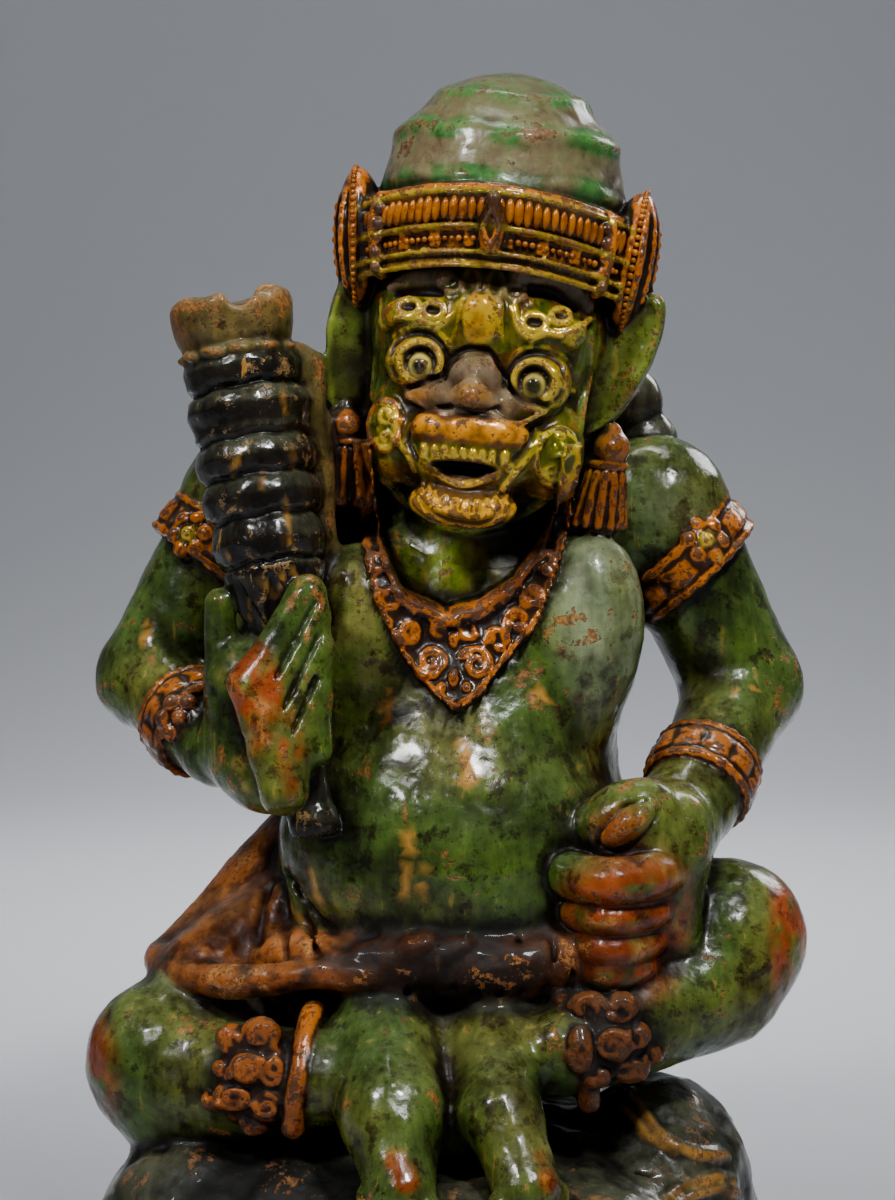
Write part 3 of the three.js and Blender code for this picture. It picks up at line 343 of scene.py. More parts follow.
class Block:
    """A box of wood that is carved by adding and cutting forms."""

    def __init__(self, low, high, step):
        self.step, self.low = step, np.array(low, float)
        self.count = [int(math.ceil((b - a) / step)) + 1 for a, b in zip(low, high)]
        self.grid = np.full(self.count, AIR, np.float32)
        self.paint = np.zeros(self.count, np.uint8)

    def reach(self, low, high, more):
        """The slices that a box covers and their coordinates, or None where it misses the block."""
        cut, axes = [], []
        for a in range(3):
            first = max(0, int(math.floor((low[a] - more - self.low[a]) / self.step)))
            last = min(self.count[a] - 1, int(math.ceil((high[a] + more - self.low[a]) / self.step)))
            if first > last:
                return None
            shape = [1, 1, 1]
            shape[a] = -1
            cut.append(slice(first, last + 1))
            places = self.low[a] + np.arange(first, last + 1) * self.step
            axes.append(places.astype(np.float32).reshape(shape))
        return tuple(cut), axes

    def measure(self, form, more):
        here = self.reach(form.low, form.high, more)
        if here is None:
            return None
        cut, axes = here
        shape = [s.stop - s.start for s in cut]
        if form.parts is None:
            return cut, np.broadcast_to(form.far(*axes), shape)
        d = np.full(shape, AIR, np.float32)
        for part in form.parts:
            there = self.measure(part, more)
            if there is not None:
                inner = tuple(slice(s.start - c.start, s.stop - c.start) for s, c in zip(there[0], cut))
                d[inner] = np.minimum(d[inner], there[1])
        return cut, d

    def add(self, form, blend=3.0, paint=None):
        """Joins a form with a fillet as wide as the blend."""
        soft = blend * SCALE
        found = self.measure(form, soft + KEEP)
        if found is None:
            return
        cut, d = found
        old = self.grid[cut]
        if paint is not None:
            self.paint[cut][d <= old] = paint
        self.grid[cut] = soft_least(old, d, soft)

    def cut(self, form, blend=1.5, paint=None):
        """Cuts a form away and leaves a softened edge."""
        soft = blend * SCALE
        found = self.measure(form, soft + self.step)
        if found is None:
            return
        cut, d = found
        old = self.grid[cut]
        if paint is not None:
            self.paint[cut][-d > old - 0.4] = paint
        self.grid[cut] = -soft_least(-old, d, soft)

    def rope(self, points, ra, rb, steps, blend, paint=None, cut=False):
        """Joins or cuts a strand through the points, unless one of them was missed."""
        if points is not None:
            (self.cut if cut else self.add)(strand(points, ra, rb, steps), blend, paint)

    def eggs(self, paint, *rows):
        """Joins eggs, each given by its middle, half sizes and fillet."""
        for x, y, z, rx, ry, rz, blend in rows:
            self.add(oval(at(x, y, z), rx, ry, rz), blend, paint)

    def limbs(self, paint, *rows):
        """Joins limbs, each given by its two ends, their radii and the fillet."""
        for a, b, ra, rb, blend in rows:
            self.add(limb(at(*a), at(*b), ra, rb), blend, paint)

    def lift(self, low, high, amount, paint=None):
        """Raises the skin inside a box by an amount that depends on the place, and paints what rises."""
        here = self.reach(low, high, 0)
        if here is None:
            return
        cut, axes = here
        rise = np.broadcast_to(amount(*axes), [s.stop - s.start for s in cut])
        if paint is not None:
            self.paint[cut][rise > 0.35] = paint
        self.grid[cut] -= rise


print(len(PAINTS), "paints")

# %% [markdown]
# ## Rock
#
# A low boulder with swelling lobes, carved in long sweeps. The lobe by the left foot has incised lines
# and raised ridges that curl round like a wave, which is how such carvers draw living rock.

# %% Rock
ROCK_MIDDLE = size(-6, -20, 0)
FOLDS = (  # ridges on the rock's left front, by distance to the figure's left and height
    ((53, 4.5), (58.5, 1), (64.4, -4.3), (71, -8.3)),
    ((58.3, 6.3), (62, 3.2), (65.8, -1.5), (71.3, -6.5), (80.3, -9.8), (89, -12)),
    ((68.2, -19.8), (73.4, -18.5), (80.1, -17.3), (86.1, -17.3), (91, -20)),
    ((71.5, -22), (80, -20.8), (87, -21), (92, -24)),
)
LOBES, FIRST_LOBE, LOBE_RING = 11, 0.35, 0.75


def carve_rock(block):
    hx, hy, hz = ROCK_LENGTH / 2, ROCK_DEPTH / 2, ROCK_HEIGHT
    cx, cy, cz = size(0.9, 0.86, 0.98) * [hx, hy, hz]

    def core(x, y, z):
        u, v, w = np.abs(x - ROCK_MIDDLE[0]) / cx, np.abs(y - ROCK_MIDDLE[1]) / cy, np.abs(z) / cz
        return (np.cbrt(u ** 2.6 + v ** 2.6 + w ** 4) - 1) * hz

    half = np.array([hx, hy, hz])
    block.add(Form(ROCK_MIDDLE - half, ROCK_MIDDLE + half, core), 1, ROCK)
    for n in range(LOBES):
        angle = (n + FIRST_LOBE) / LOBES * FULL_TURN
        wobble = math.sin(n * 2.4)
        centre = ROCK_MIDDLE + [math.cos(angle) * hx * LOBE_RING, math.sin(angle) * hy * LOBE_RING,
                                ROCK_HEIGHT * (0.34 + 0.12 * wobble)]
        turn = np.array(Matrix.Rotation(angle + math.pi / 2, 3, "Z"))
        block.add(oval(centre, 34, 27 + 4 * wobble, 26 + 5 * wobble, turn), 6, ROCK)
    block.eggs(ROCK, (4, -92, -34, 46, 24, 24, 8), (67, -28, -29, 32, 36, 38, 5))
    for n in range(LOBES):
        angle = (n + FIRST_LOBE + 0.5) / LOBES * FULL_TURN
        out = np.array([math.cos(angle) * hx, math.sin(angle) * hy, 0])
        crease = [ROCK_MIDDLE + out * share + [0, 0, ROCK_HEIGHT * high]
                  for share, high in ((0.72, 0.95), (1, 0.7), (1.08, 0.35), (1.04, 0.02))]
        block.cut(strand(crease, 2.2, 3.2), 4)
    swirl = at(64, -66, -28)
    for gap in (0, 5):
        coil = []
        for n in range(15):
            angle = math.radians(-150 + 27 * n)
            r = (31 - gap) * (1 - 0.055 * n)
            coil.append(swirl + size(math.cos(angle) * r * 0.9, 6 - 0.6 * n, math.sin(angle) * r))
        block.cut(strand(coil, 1.3, 1.1, 40), 1)
    for line in FOLDS:
        block.rope(on_front(block, [at(x, -110, z) for x, z in line]), 1.6, 1.6, 20, 1.6)


print(LOBES, "lobes and", len(FOLDS), "ridges on the rock")

# %% [markdown]
# ## Body
#
# Trunk, legs, arms and hands. Only what shows from a step away is also in the plain solid; creases
# of the belly and neck, nails, knuckles and the hem's wrinkles are added here.

# %% Trunk and legs
def carve_trunk(block):
    block.eggs(SKIN, (0, 12, 30, 56, 44, 34, 8), (4, 12, 106, 53, 34, 66, 12), (2, -20, 82, 57, 49, 53, 14),
               (8, -2, 150, 55, 35, 46, 14), (6, -16, 122, 44, 32, 34, 14))
    block.add(limb(P["shoulder_r"], P["shoulder_l"], 20), 16, SKIN)
    for x, y, z in ((42, -22, 150), (-26, -25, 147)):
        block.add(oval(at(x, y, z), 21, 19, 35, turn_of(0.1, x * 0.004, 0)), 9, SKIN)
    block.limbs(SKIN, ((62, 12, 176), (68, 12, 160), 12, 6, 8))
    block.add(limb(P["neck_base"], P["neck_top"], 27, 26), 7, SKIN)


def carve_legs(block):
    for name, blend in (("thigh_r", 10), ("thigh_l", 10), ("shin_r", 4), ("shin_l", 4)):
        block.add(limb(*LIMBS[name]), blend, SKIN)
    feet = (
        (at(-20, -62, 29), at(-17, -88, 11), at(-14, -106, -8), -1, 17.5),
        (at(15, -62, 30), at(16.5, -90, 12), at(24, -106, -7), 1, 13.5),
    )
    block.limbs(SKIN, ((1, -56, 34), (1.5, -84, 2), 6, 5, 3))
    for heel, arch, ball, side, thick in feet:
        block.add(limb(heel, arch, thick, thick - 1.5), 8, SKIN)
        block.add(limb(arch, ball, thick - 2, 10.5), 6, SKIN)
        for toe in range(5):
            root = ball + size(side * (toe * 4.2 - 7), -5 + toe * 1.5, -4 + toe * 0.6)
            tip = root + size(0, -5 + toe * 0.5, -6)
            block.add(limb(root, tip, 3.4 if toe else 5, 2.8 if toe else 4.2), 1.2, SKIN)
            nail = tip + size(0, -2.2 if toe else -3.2, 1.2)
            width = 1.7 if toe else 3
            block.add(oval(nail, width, 1.2, width * 0.9), 0.4, SKIN)


print(len(LIMBS), "limbs on the trunk")

# %% Cloth
RIGHT_HEM = ((-84, 8, 40), (-93, -8, 44), (-89, -30, 43), (-76, -46, 44), (-60, -56, 46), (-40, -64, 50),
             (-24, -68, 50))


def carve_cloth(block):
    hem = HEM_RADIUS / SCALE
    block.limbs(CLOTH, ((-40, 20, 60), (-76, 8, 34), 20, 15, 8), ((-47, 8, 79), (-84, -6, 42), 15, 13, 9),
                ((-36, -10, 58), (-76, -26, 42), 25, 17, 8), ((50, 8, 84), (72, -8, 68), 14, 12, 8))
    block.add(strand([at(46, -56, 46), at(66, -42, 58), at(80, -8, 78)], hem, hem), 3, CLOTH)
    sash = [at(-52, -40, 50), at(-34, -58, 52), at(-12, -63, 53), at(14, -63, 52), at(44, -56, 54)]
    block.add(strand(sash, 9, 10, 14), 6, CLOTH)
    right_hem = [at(*p) for p in RIGHT_HEM]
    block.add(strand(right_hem, 6.2, 4.6, 28), 1.8, CLOTH)
    waist = at(-60, -14, 82)
    for n, foot in enumerate(smooth_line(right_hem[1:], 9)):
        fold = foot + size(3, 3, 8)
        start = waist + size(2.4 * n - 9, -1.6 * n, -1.2 * n)
        places = [start + (fold - start) * t + size(0, 0, 4 * math.sin(5 * t + n))
                  for t in (0, 0.3, 0.6, 0.9)]
        block.rope(on_front(block, [p * [1, 0, 1] + [0, -95, 0] for p in places]), 0.9, 1.5, 12, 2.2,
                   cut=True)
    for n in range(9):
        foot = at(-20 + n * 7.2, -70 + abs(n - 3), 44 + (n * 5) % 4)
        head = foot + size(3 - (n * 3) % 7, 2, 12 + (n * 7) % 5)
        block.cut(strand([foot, (foot + head) / 2 + size(1.2, -2, 0), head], 0.8, 0.8, 6), 2.4)
    for x, y, z, r in ((-9, -69, 60, 4.6), (-2, -69, 57, 4), (-6, -70, 53, 3.4), (4, -68, 60, 3.2)):
        block.add(oval(at(x, y, z), r * 1.4, r, r * 0.85, turn_of(0, 0.5 - r * 0.2, 0)), 3, CLOTH)
    belt = [at(-51, 16, 63), at(-34, 35, 60), at(4, 43, 58), at(38, 35, 60), at(53, 16, 63)]
    block.add(strand(belt, hem * 1.2, hem * 1.2, 12), 4, CLOTH)
    block.add(limb(at(6, 44, 58), at(12, 57, 26), hem * 1.8, hem * 1.5), 4, CLOTH)


print("hems", HEM_RADIUS, "mm thick")

# %% Arms and hands
def on_grip(height, side, lift=0.0):
    """A point in front of the club's grip, at a height on the figure and so far to its left."""
    z = at(0, 0, height)[2]
    share = (z - P["pommel"][2]) / (P["club_aim"][2] - P["pommel"][2])
    axis = P["pommel"] + (P["club_aim"] - P["pommel"]) * share
    return axis + [side * SCALE, -(GRIP_RADIUS + FINGER_RADIUS * 1.75 + lift * SCALE), 0]


def carve_arms(block):
    for name, blend in (("upper_r", 10), ("fore_r", 5), ("upper_l", 8), ("fore_l", 5)):
        block.add(limb(*LIMBS[name]), blend, SKIN)


def carve_club_hand(block):
    block.limbs(SKIN, ((-60, -50, 117), (-64, -49, 142), 15.5, 12.5, 6),
                ((-56, -58, 112), (-50, -60, 124), 11.5, 10.5, 6))
    thick, fine = FINGER_RADIUS / SCALE + 0.6, FINGER_RADIUS / SCALE - 1.4
    fingers = ((142, 170, 11), (131, 162, 11.5), (120, 152, 11), (110, 139, 8))
    for n, (low, high, reach) in enumerate(fingers):
        root, tip = on_grip(low, -11 + n * 1.4), on_grip(high, reach, -1)
        block.add(limb(root, tip, thick, fine), 2.6, SKIN)
    edge = [on_grip(high - 2, reach - 1.4, -2) for _, high, reach in fingers] + [on_grip(122, 5, -2)]
    block.add(strand(edge, 5.4, 5.4, 16), 3, SKIN)
    roots = [on_grip(low, n * 1.4 - 11, -1) for n, (low, _, _) in enumerate(fingers)]
    block.add(strand(roots, thick, thick, 12), 3, SKIN)
    for low, high, reach in fingers[1:]:
        groove = [on_grip(low + (high - low) * t + 5.2, -9 + (reach + 10) * t, 5.2 - 3.2 * abs(t - 0.5))
                  for t in (0, 0.35, 0.7, 1)]
        block.cut(strand(groove, 0.7, 1, 10), 1.4)
    block.limbs(SKIN, ((-70, -44, 124), (-72, -48, 165), 7, 4.8, 3),
                ((-58, -36, 132), (-50, -14, 184), 14, 14, 5))


def carve_resting_hand(block):
    block.add(oval(at(60, -46, 78), 20, 20, 30), 5, SKIN)
    block.add(limb(P["wrist_l"], at(67, -46, 87), 14, 17), 6, SKIN)
    block.add(oval(at(56, -54, 97), 17, 11, 12, turn_of(0, -0.5, 0)), 4, SKIN)
    for n, z in enumerate((81, 69, 59, 51)):
        r = FINGER_RADIUS / SCALE + (-0.6 if n else 1.4)
        out, tip = n * 2, 38.5 + n * 2.2
        bend = [
            at(70 - out, -54, z + 1), at(62 - out, -67 + n, z), at(50, -72 + n * 1.5, z), at(tip, -61 + n, z),
        ]
        block.add(strand(bend, r, r * 0.95, 12), 1.4, SKIN)
    block.limbs(SKIN, ((71.5, -47, 94), (70, -47, 60), 11.5, 10.5, 3))
    nail, tilt = at(56, -67, 97), turn_of(0, -0.62, 0)
    rim = [nail + tilt @ size(math.cos(a) * 10.5, 0, math.sin(a) * 5.2) for a in once_round(20)]
    laid = on_front(block, [p * [1, 0, 1] + [0, -90, 0] for p in rim], 0.1)
    if laid is not None:
        block.add(oval(nail + size(0, 5, 0), 10.5, 7, 5.6, tilt), 1, SKIN)
        block.cut(chain(laid, 0.8), 0.8)
    block.limbs(SKIN, ((34, -44, 88), (44, -34, 70), 9, 14, 8))


print("grip", round(2 * GRIP_RADIUS, 1), "mm across in the closed hand")

# %% [markdown]
# ## Club
#
# The club is turned: rings above a lotus bud, a plain grip and a pommel. The rings are scalloped by
# hand, so the radius depends on the angle as well as on the place along the axis. Its bare end is a
# chipped cup with a lobed lip, and bare wood is left standing between the club and the head.

# %% Club
GRIP = GRIP_RADIUS / CLUB_RADIUS
PROFILE = np.array([(0, GRIP * 1.1), (0.02, GRIP * 1.25), (0.045, GRIP * 1.15), (0.055, GRIP), (0.3, GRIP),
                    (0.335, 0.36), (0.4, 0.58), (0.49, 0.8), (0.497, 0.74), (0.505, 0.86), (0.535, 0.94),
                    (0.57, 0.87), (0.58, 0.8), (0.59, 0.93), (0.62, 0.99), (0.645, 0.93), (0.655, 0.83),
                    (0.665, 0.94), (0.69, 1.0), (0.715, 0.93), (0.725, 0.84), (0.737, 0.93), (0.75, 0.91),
                    (0.785, 1.01), (0.81, 0.93), (0.818, 0.8), (0.83, 0.92), (0.86, 0.95), (0.882, 0.86),
                    (0.892, 0.8), (0.91, 0.9), (0.935, 0.97), (0.97, 1.02), (1, 1.04)])
PETALS, LIP_LOBES, RIM_ROUND = 8, 11, 6.0
BUD_FROM, BUD_TO, CUP_FROM = 0.35, 0.49, 0.892  # shares of the club's length


def carve_club(block):
    aim, across, ahead = frame_about(P["club_aim"] - P["pommel"], BACK)
    place = about_axis(P["pommel"], aim)
    tip = P["pommel"] + aim * CLUB_LENGTH

    def far(x, y, z):
        s, out, angle = place(x, y, z)
        t = s / CLUB_LENGTH
        wave = 0.0025 * np.cos(7 * angle + 3 * np.sin(20 * t)) * (t > BUD_TO)
        radius = CLUB_RADIUS * np.interp(t + wave, PROFILE[:, 0], PROFILE[:, 1]).astype(np.float32)
        petal = np.abs(((angle * PETALS / math.pi) % 2) - 1)
        edge = 0.38 + 0.09 * petal
        in_bud = (t > BUD_FROM) & (t < BUD_TO)
        radius += in_bud * (0.9 * np.clip((t - edge) / 0.012, -0.5, 1))
        side, top = (out - radius) * 0.85, s - CLUB_LENGTH
        rounding = unit(1 - np.abs(side - top) / RIM_ROUND) ** 2 * RIM_ROUND / 4
        return np.maximum(np.maximum(side, -s), top) + rounding

    low, high = box_of([P["pommel"], tip], CLUB_RADIUS * 1.12)
    block.add(Form(low, high, far), 1, LACQUER)
    cup = aim * CLUB_LENGTH * CUP_FROM
    inside = about_axis(P["pommel"] + cup, aim)
    found = block.reach(low, high + 3, 2)
    if found is not None:
        s, out, _ = inside(*found[1])
        block.paint[found[0]][(s > 0) & (out < CLUB_RADIUS * 1.2)] = BARE
    for hollow, radii, blend in (((4, -13, 3.5), (5, 12, 7), 2.4), ((-8, -13, 5), (7, 12, 5.5), 3),
                                 ((0, 0, 3), (12, 12, 6), 3)):
        block.cut(oval(tip + size(*hollow), *radii), blend, BARE)
    for n in range(5):
        angle = n * 1.27 + 0.3
        side = np.array([math.cos(angle), math.sin(angle), 0]) * CLUB_RADIUS
        block.cut(oval(tip + side + [0, 0, 3], 4.5, 4, 3 + n % 2), 2, BARE)
    for angle in once_round(LIP_LOBES)[:-1]:
        out = (across * math.cos(angle) + ahead * math.sin(angle)) * CLUB_RADIUS * 0.72
        block.add(oval(P["pommel"] + aim * CLUB_LENGTH * 0.889 + out, 5.4, 5.4, 1.9), 1.6, BARE)
    block.limbs(BARE, ((-44, -6, 176), (-40, 0, 212), 15, 13, 8), ((-40, 0, 212), (-30, 6, 240), 13, 9, 8),
                ((-43, -30, 172), (-47, -22, 238), 8.5, 7, 5))


print("club of", len(PROFILE), "turns")

# %% [markdown]
# ## Head
#
# The face is a guardian's: round staring eyes in double rings, a broad nose under a bat-shaped
# plate, a smiling muzzle and two rows of teeth. Small forms have to lie on the masses below them,
# so `on_skin` looks along the head's own depth for the skin that is already carved.

# %% Laying forms on the skin
LOOK_FROM, LOOK_STEP, LOOKS = -78.0, 0.4, 200


def on_skin(block, start, direction, out=0.0):
    """The first carved skin that a look from start along direction meets, or None."""
    p = start[None, :] + direction[None, :] * (np.arange(LOOKS) * LOOK_STEP)[:, None]
    n = np.round((p - block.low) / block.step).astype(int)
    held = np.all((n >= 0) & (n < block.count), axis=1)
    inside = np.zeros(LOOKS, bool)
    inside[held] = block.grid[tuple(n[held].T)] < 0
    if not inside.any():
        return None
    return p[int(np.argmax(inside))] - direction * out


def on_front(block, starts, out=0.0, direction=BACK):
    """Where looks from the starts meet the carved skin, or None if one of them misses."""
    found = [on_skin(block, p, direction, out) for p in starts]
    return None if any(p is None for p in found) else found


def face_points(block, places, out=0.0):
    """Points of the face from their distance to the figure's left and their height on the head."""
    return on_front(block, [on_head(x, LOOK_FROM, z) for x, z in places], out, HEAD_TURN @ BACK)


def lay(block, places, ra, rb=None, blend=0.8, paint=None, steps=None, cut=False, out=0.0):
    """Lays a rope over the face, or cuts a groove in it, through the places."""
    block.rope(face_points(block, places, out), ra, rb, steps or 5 * (len(places) - 1), blend, paint, cut)


def curl(x, z, radius, turns, start=0.0, hand=1):
    """Places on a spiral that winds in to its middle."""
    count = int(14 * turns)
    steps = [(start + FULL_TURN * turns * n / count, radius * (1 - 0.8 * n / count))
             for n in range(count + 1)]
    return [(x + hand * math.cos(a) * r, z + math.sin(a) * r) for a, r in steps]


print("each look goes", LOOKS * LOOK_STEP, "mm deep")

# %% Skull and eyes
EYES = ((-17.9, 5.1, -1), (18, 2.1, 1))
BALL, LID, CREASE = 4.7, 6.4, 8.9  # radii of the eyeball, the gold lid round it and the crease round that


def carve_skull(block):
    masses = (
        (0, 4, 16, 40, 42, 46, 4, LEAF), (0, -8, -12, 34, 34, 32, 8, SKIN), (0, -13, 14, 33, 28, 28, 4, LEAF),
        (-24, -26, -18, 10, 12, 16, 5, LEAF), (24.5, -25, -20, 10.5, 12, 15, 5, LEAF),
        (0, -34, -20, 22, 17, 16, 5, LEAF), (-0.6, -44.5, -14.2, 18.6, 7.5, 6.6, 2.6, GILT),
        (-1, -38, -38, 17, 13, 7.5, 4, GILT), (-17, -31, 19, 15, 8, 7, 4, LEAF),
        (18, -31, 18, 15, 8, 7, 4, LEAF),
    )
    for x, y, z, rx, ry, rz, blend, paint in masses:
        block.add(head_oval(x, y, z, rx, ry, rz), blend, paint)


def loop(x, z, rx, rz, first=0, last=360, count=24):
    """Places on an oval, from one angle to another."""
    angles = np.radians(np.linspace(first, last, count + 1))
    return [(x + rx * math.cos(a), z + rz * math.sin(a)) for a in angles]


def carve_eye(block, x, z, side):
    block.add(head_oval(x, -33.5, z, 11.5, 8.6, 10.4), 3, LEAF)
    lay(block, loop(x + side * 0.6, z + 0.6, CREASE, CREASE - 0.4, -40, 220), 0.8, 0.8, 0.9, MOUTH, 48,
        cut=True)
    lay(block, loop(x, z + 0.2, LID, LID), 1.05, 1.05, 0.7, PEARL, 48)
    tail = [
        (x + side * LID * 0.9, z + 3.4), (x + side * (LID + 2.4), z - 0.4), (x + side * (LID + 5.4), z - 2.6),
    ]
    lay(block, tail, 1.5, 0.7, 0.8, PEARL)
    outer = loop(x + side * 0.6, z + 0.8, CREASE + 1.9, CREASE + 1.7, 90 - side * 62, 90 + side * 58)
    lay(block, outer, 0.9, 0.9, 0.8, LEAF, 40)
    block.cut(head_oval(x, -44.5, z + 0.4, BALL + 0.9, 8.5, BALL + 0.9), 0.4, MOUTH)
    block.add(head_oval(x, -37.4, z - 0.9, BALL - 0.3, 5.6, BALL - 0.3), 0.2, EYE)


print(len(EYES), "eyes, balls", 2 * BALL, "mm across")

# %% Nose and mouth
NOSE_TOP = ((-21, -5), (-15.5, -2.6), (-10.6, 0.8), (-7.6, 5.6), (-3, 9), (2.2, 9), (5.6, 5.4), (8.4, 0.6),
            (11.2, -3.2), (15.4, -5.6), (22, -6))
NOSE_FOOT = (
    (-21, -5.9), (-13, -8.6), (-8.7, -9.4), (-1.8, -8), (4.8, -7.6), (10.1, -10.2), (13.8, -11), (22, -6.8),
)


def carve_nose(block):
    for x, y, z, rx, ry, rz in ((-0.4, -42.5, 1.4, 8.5, 6, 7.4), (-0.6, -43, -4.4, 13, 5.6, 4.6)):
        block.add(head_oval(x, y, z, rx, ry, rz), 2.2, NOSE)
    for tip, middle in (((-20.5, -36.8, -5.4), (-9, -43.6, -4.6)), ((21.5, -34.6, -6.4), (9.5, -43.4, -6.2))):
        block.add(limb(on_head(*tip), on_head(*middle), 1.6, 4.4), 2, NOSE)
    lay(block, [(x, z + 1.6) for x, z in NOSE_TOP], 1.3, 1.3, 1.2, MOUTH, 50, cut=True)
    lay(block, NOSE_TOP, 0.9, 0.9, 1, NOSE, 50)
    ridge, tip = on_head(-0.6, -45.5, 4.6), on_head(-0.4, -50.4, -3)
    block.add(limb(ridge, tip, 2.4, 3.6), 1.8, NOSE)
    for x in (-6.6, 5.8):
        block.add(limb(tip, on_head(x, -47, -5.2), 3.2, 2.5), 1.6, NOSE)
    lay(block, [(-6.6, -2.4), (-3.4, 0.4), (-0.6, 1.9), (2.4, 0.2), (5.6, -2.6)], 0.8, 0.8, 0.7, NOSE, 20)
    for x, z in ((-8.4, -7.6), (6.4, -6.9)):
        lay(block, [(x - 1.9, z - 0.5), (x + 1.9, z + 0.5)], 0.9, 0.9, 0.6, MOUTH, cut=True)
    lay(block, NOSE_FOOT, 0.9, 0.9, 0.8, NOSE, 40)


def carve_mouth(block):
    for n in range(7):
        x = -10.2 + 2.95 * n
        points = face_points(block, [(x, -20.4), (x + 0.1, -22.9)], -0.1)
        if points is not None:
            block.add(limb(points[0], points[1], 1.25, 1.1), 0.5, PEARL)
    for x in (-13.6, 11.4):
        lay(block, [(x, -20.5), (x * 1.02, -23.5)], 1.5, 1.2, 0.7, PEARL)
    block.cut(head_oval(-1.3, -52, -25.7, 11.4, 10, 2), 0.7, MOUTH)
    block.cut(head_oval(-1.6, -50, -27.3, 7.6, 7.5, 2.2), 0.7, MOUTH)
    block.add(head_oval(-0.8, -41.5, -30.6, 8, 6.2, 2.8), 1, NOSE)
    lay(block, [(-7.4, -29.6), (-0.4, -31.4), (6.4, -29)], 0.9, 0.9, 0.7, PEARL)
    lip = [(-13.2, -31.8), (-9, -35.2), (-2.4, -37.2), (4.2, -37.2), (9.4, -34.6), (11.4, -30.6)]
    for n, (x, z) in enumerate(smooth_line([np.array(p) for p in lip], 10)):
        points = face_points(block, [(x, z - 0.9), (x, z + 1.1)], -0.2)
        if points is not None:
            block.add(limb(points[0], points[1], 1.25, 1), 0.5, PEARL)
    lay(block, [(x * 1.06, z - 2.9) for x, z in lip], 1.3, 1.3, 0.9, GILT, 30)
    lay(block, [(x * 1.15, z - 6) for x, z in lip], 1.3, 1.3, 1, GILT, 30)
    lay(block, [(11.4, -31.6), (15.2, -25), (21, -14.8)], 1, 1.9, 0.7, PEARL)
    lay(block, [(12.6, -25), (15.8, -19)], 1.1, 0.9, 0.7, PEARL)
    lay(block, [(-24.8, -13), (-21.8, -20.5), (-18.6, -24.6), (-16.8, -28.6)], 1.6, 0.9, 0.7, PEARL)
    lay(block, [(-18.4, -12), (-19.4, -18), (-16.4, -24)], 1, 1, 0.8, MOUTH, cut=True)
    lay(block, [(18.4, -12), (17.8, -17.5), (14.4, -22)], 1, 1, 0.8, MOUTH, cut=True)


print(len(NOSE_TOP), "places along the plate of the nose")

# %% Scrolls and curls of the face
def carve_scrolls(block):
    lay(block, [(10, 34.6), (19, 34.6), (27, 32), (31.5, 27)], 3.2, 2.2, 2, NOSE)
    lay(block, [(-30, 27), (-23, 31), (-13, 32.4)], 2.2, 2.6, 1.6, NOSE)
    lay(block, [(-28, 24.4), (-21, 27), (-14, 27.4)], 2, 1.6, 1.2, MOUTH, cut=True)
    lay(block, [(14, 30.2), (21, 29.8), (28, 26)], 1.8, 1.6, 1.2, MOUTH, cut=True)
    for x, z, rx, rz in ((-4.6, 31, 2.6, 4.6), (3, 31, 2.6, 4.4), (-11, 30, 3.6, 2.4), (9.4, 29.4, 3.2, 2.6)):
        lay(block, loop(x, z, rx, rz), 0.8, 0.8, 0.7, NOSE, 30)
    for x, z, rx, rz in ((16.4, 20.6, 3.6, 2.5), (24.2, 23.2, 2.8, 2.2), (-23.4, 22, 3.4, 2.4),
                         (-15.4, 21.6, 3, 2.3)):
        lay(block, loop(x, z, rx, rz), 0.9, 0.9, 0.7, PEARL, 30)
        lay(block, [(x - rx * 0.3, z), (x + rx * 0.3, z)], rz * 0.5, rz * 0.5, 0.7, MOUTH, cut=True)
    lay(block, [(9.4, 24.6), (11.4, 19.6), (15.8, 15.6), (20.4, 17.8), (24.6, 17.6), (29.4, 19.8),
                (33.6, 23.4)], 1.3, 1, 0.8, PEARL, 40)
    lay(block, [(-33.6, 22.4), (-31.6, 14.4), (-26.6, 18.2), (-20.4, 18.4), (-14.4, 16.8), (-9.4, 20.2),
                (-7.4, 24.2)], 1, 1.3, 0.8, PEARL, 40)
    block.add(head_oval(-0.6, -40.4, 20.6, 5.4, 2.6, 7), 3.4, GILT)
    for x in (-6.4, 5.4):
        lay(block, [(x, 26), (x * 1.1, 20), (x * 1.3, 13.5)], 0.9, 0.7, 0.8, LEAF)
    for x, z, rx, rz, hand in ((27, -21, 6.2, 9, 1), (-27.6, -15.6, 5.4, 7.6, -1)):
        lay(block, loop(x, z, rx, rz), 1.1, 1.1, 0.8, GILT, 60)
        lay(block, curl(x, z + 3.4, 3.6, 1.4, 1.2, hand), 0.9, 0.7, 0.7, PEARL)
        lay(block, curl(x - hand, z - 4, 3.2, 1.3, 3.4, -hand), 0.9, 0.7, 0.7, PEARL)
    for x, low, high in ((33, -12, 18), (-33.5, -8, 16)):
        lay(block, [(x, low), (x * 1.02, (low + high) / 2), (x, high)], 1.4, 1.2, 1.2, SKIN)
    lay(block, [(-27, -33), (-19, -42.4), (-6, -47.2), (7, -46.2), (18, -40), (28, -31)], 1.5, 1.5, 1.6, SKIN)


print("face written")

# %% Ears and pendants
EAR_LEAN = 0.42


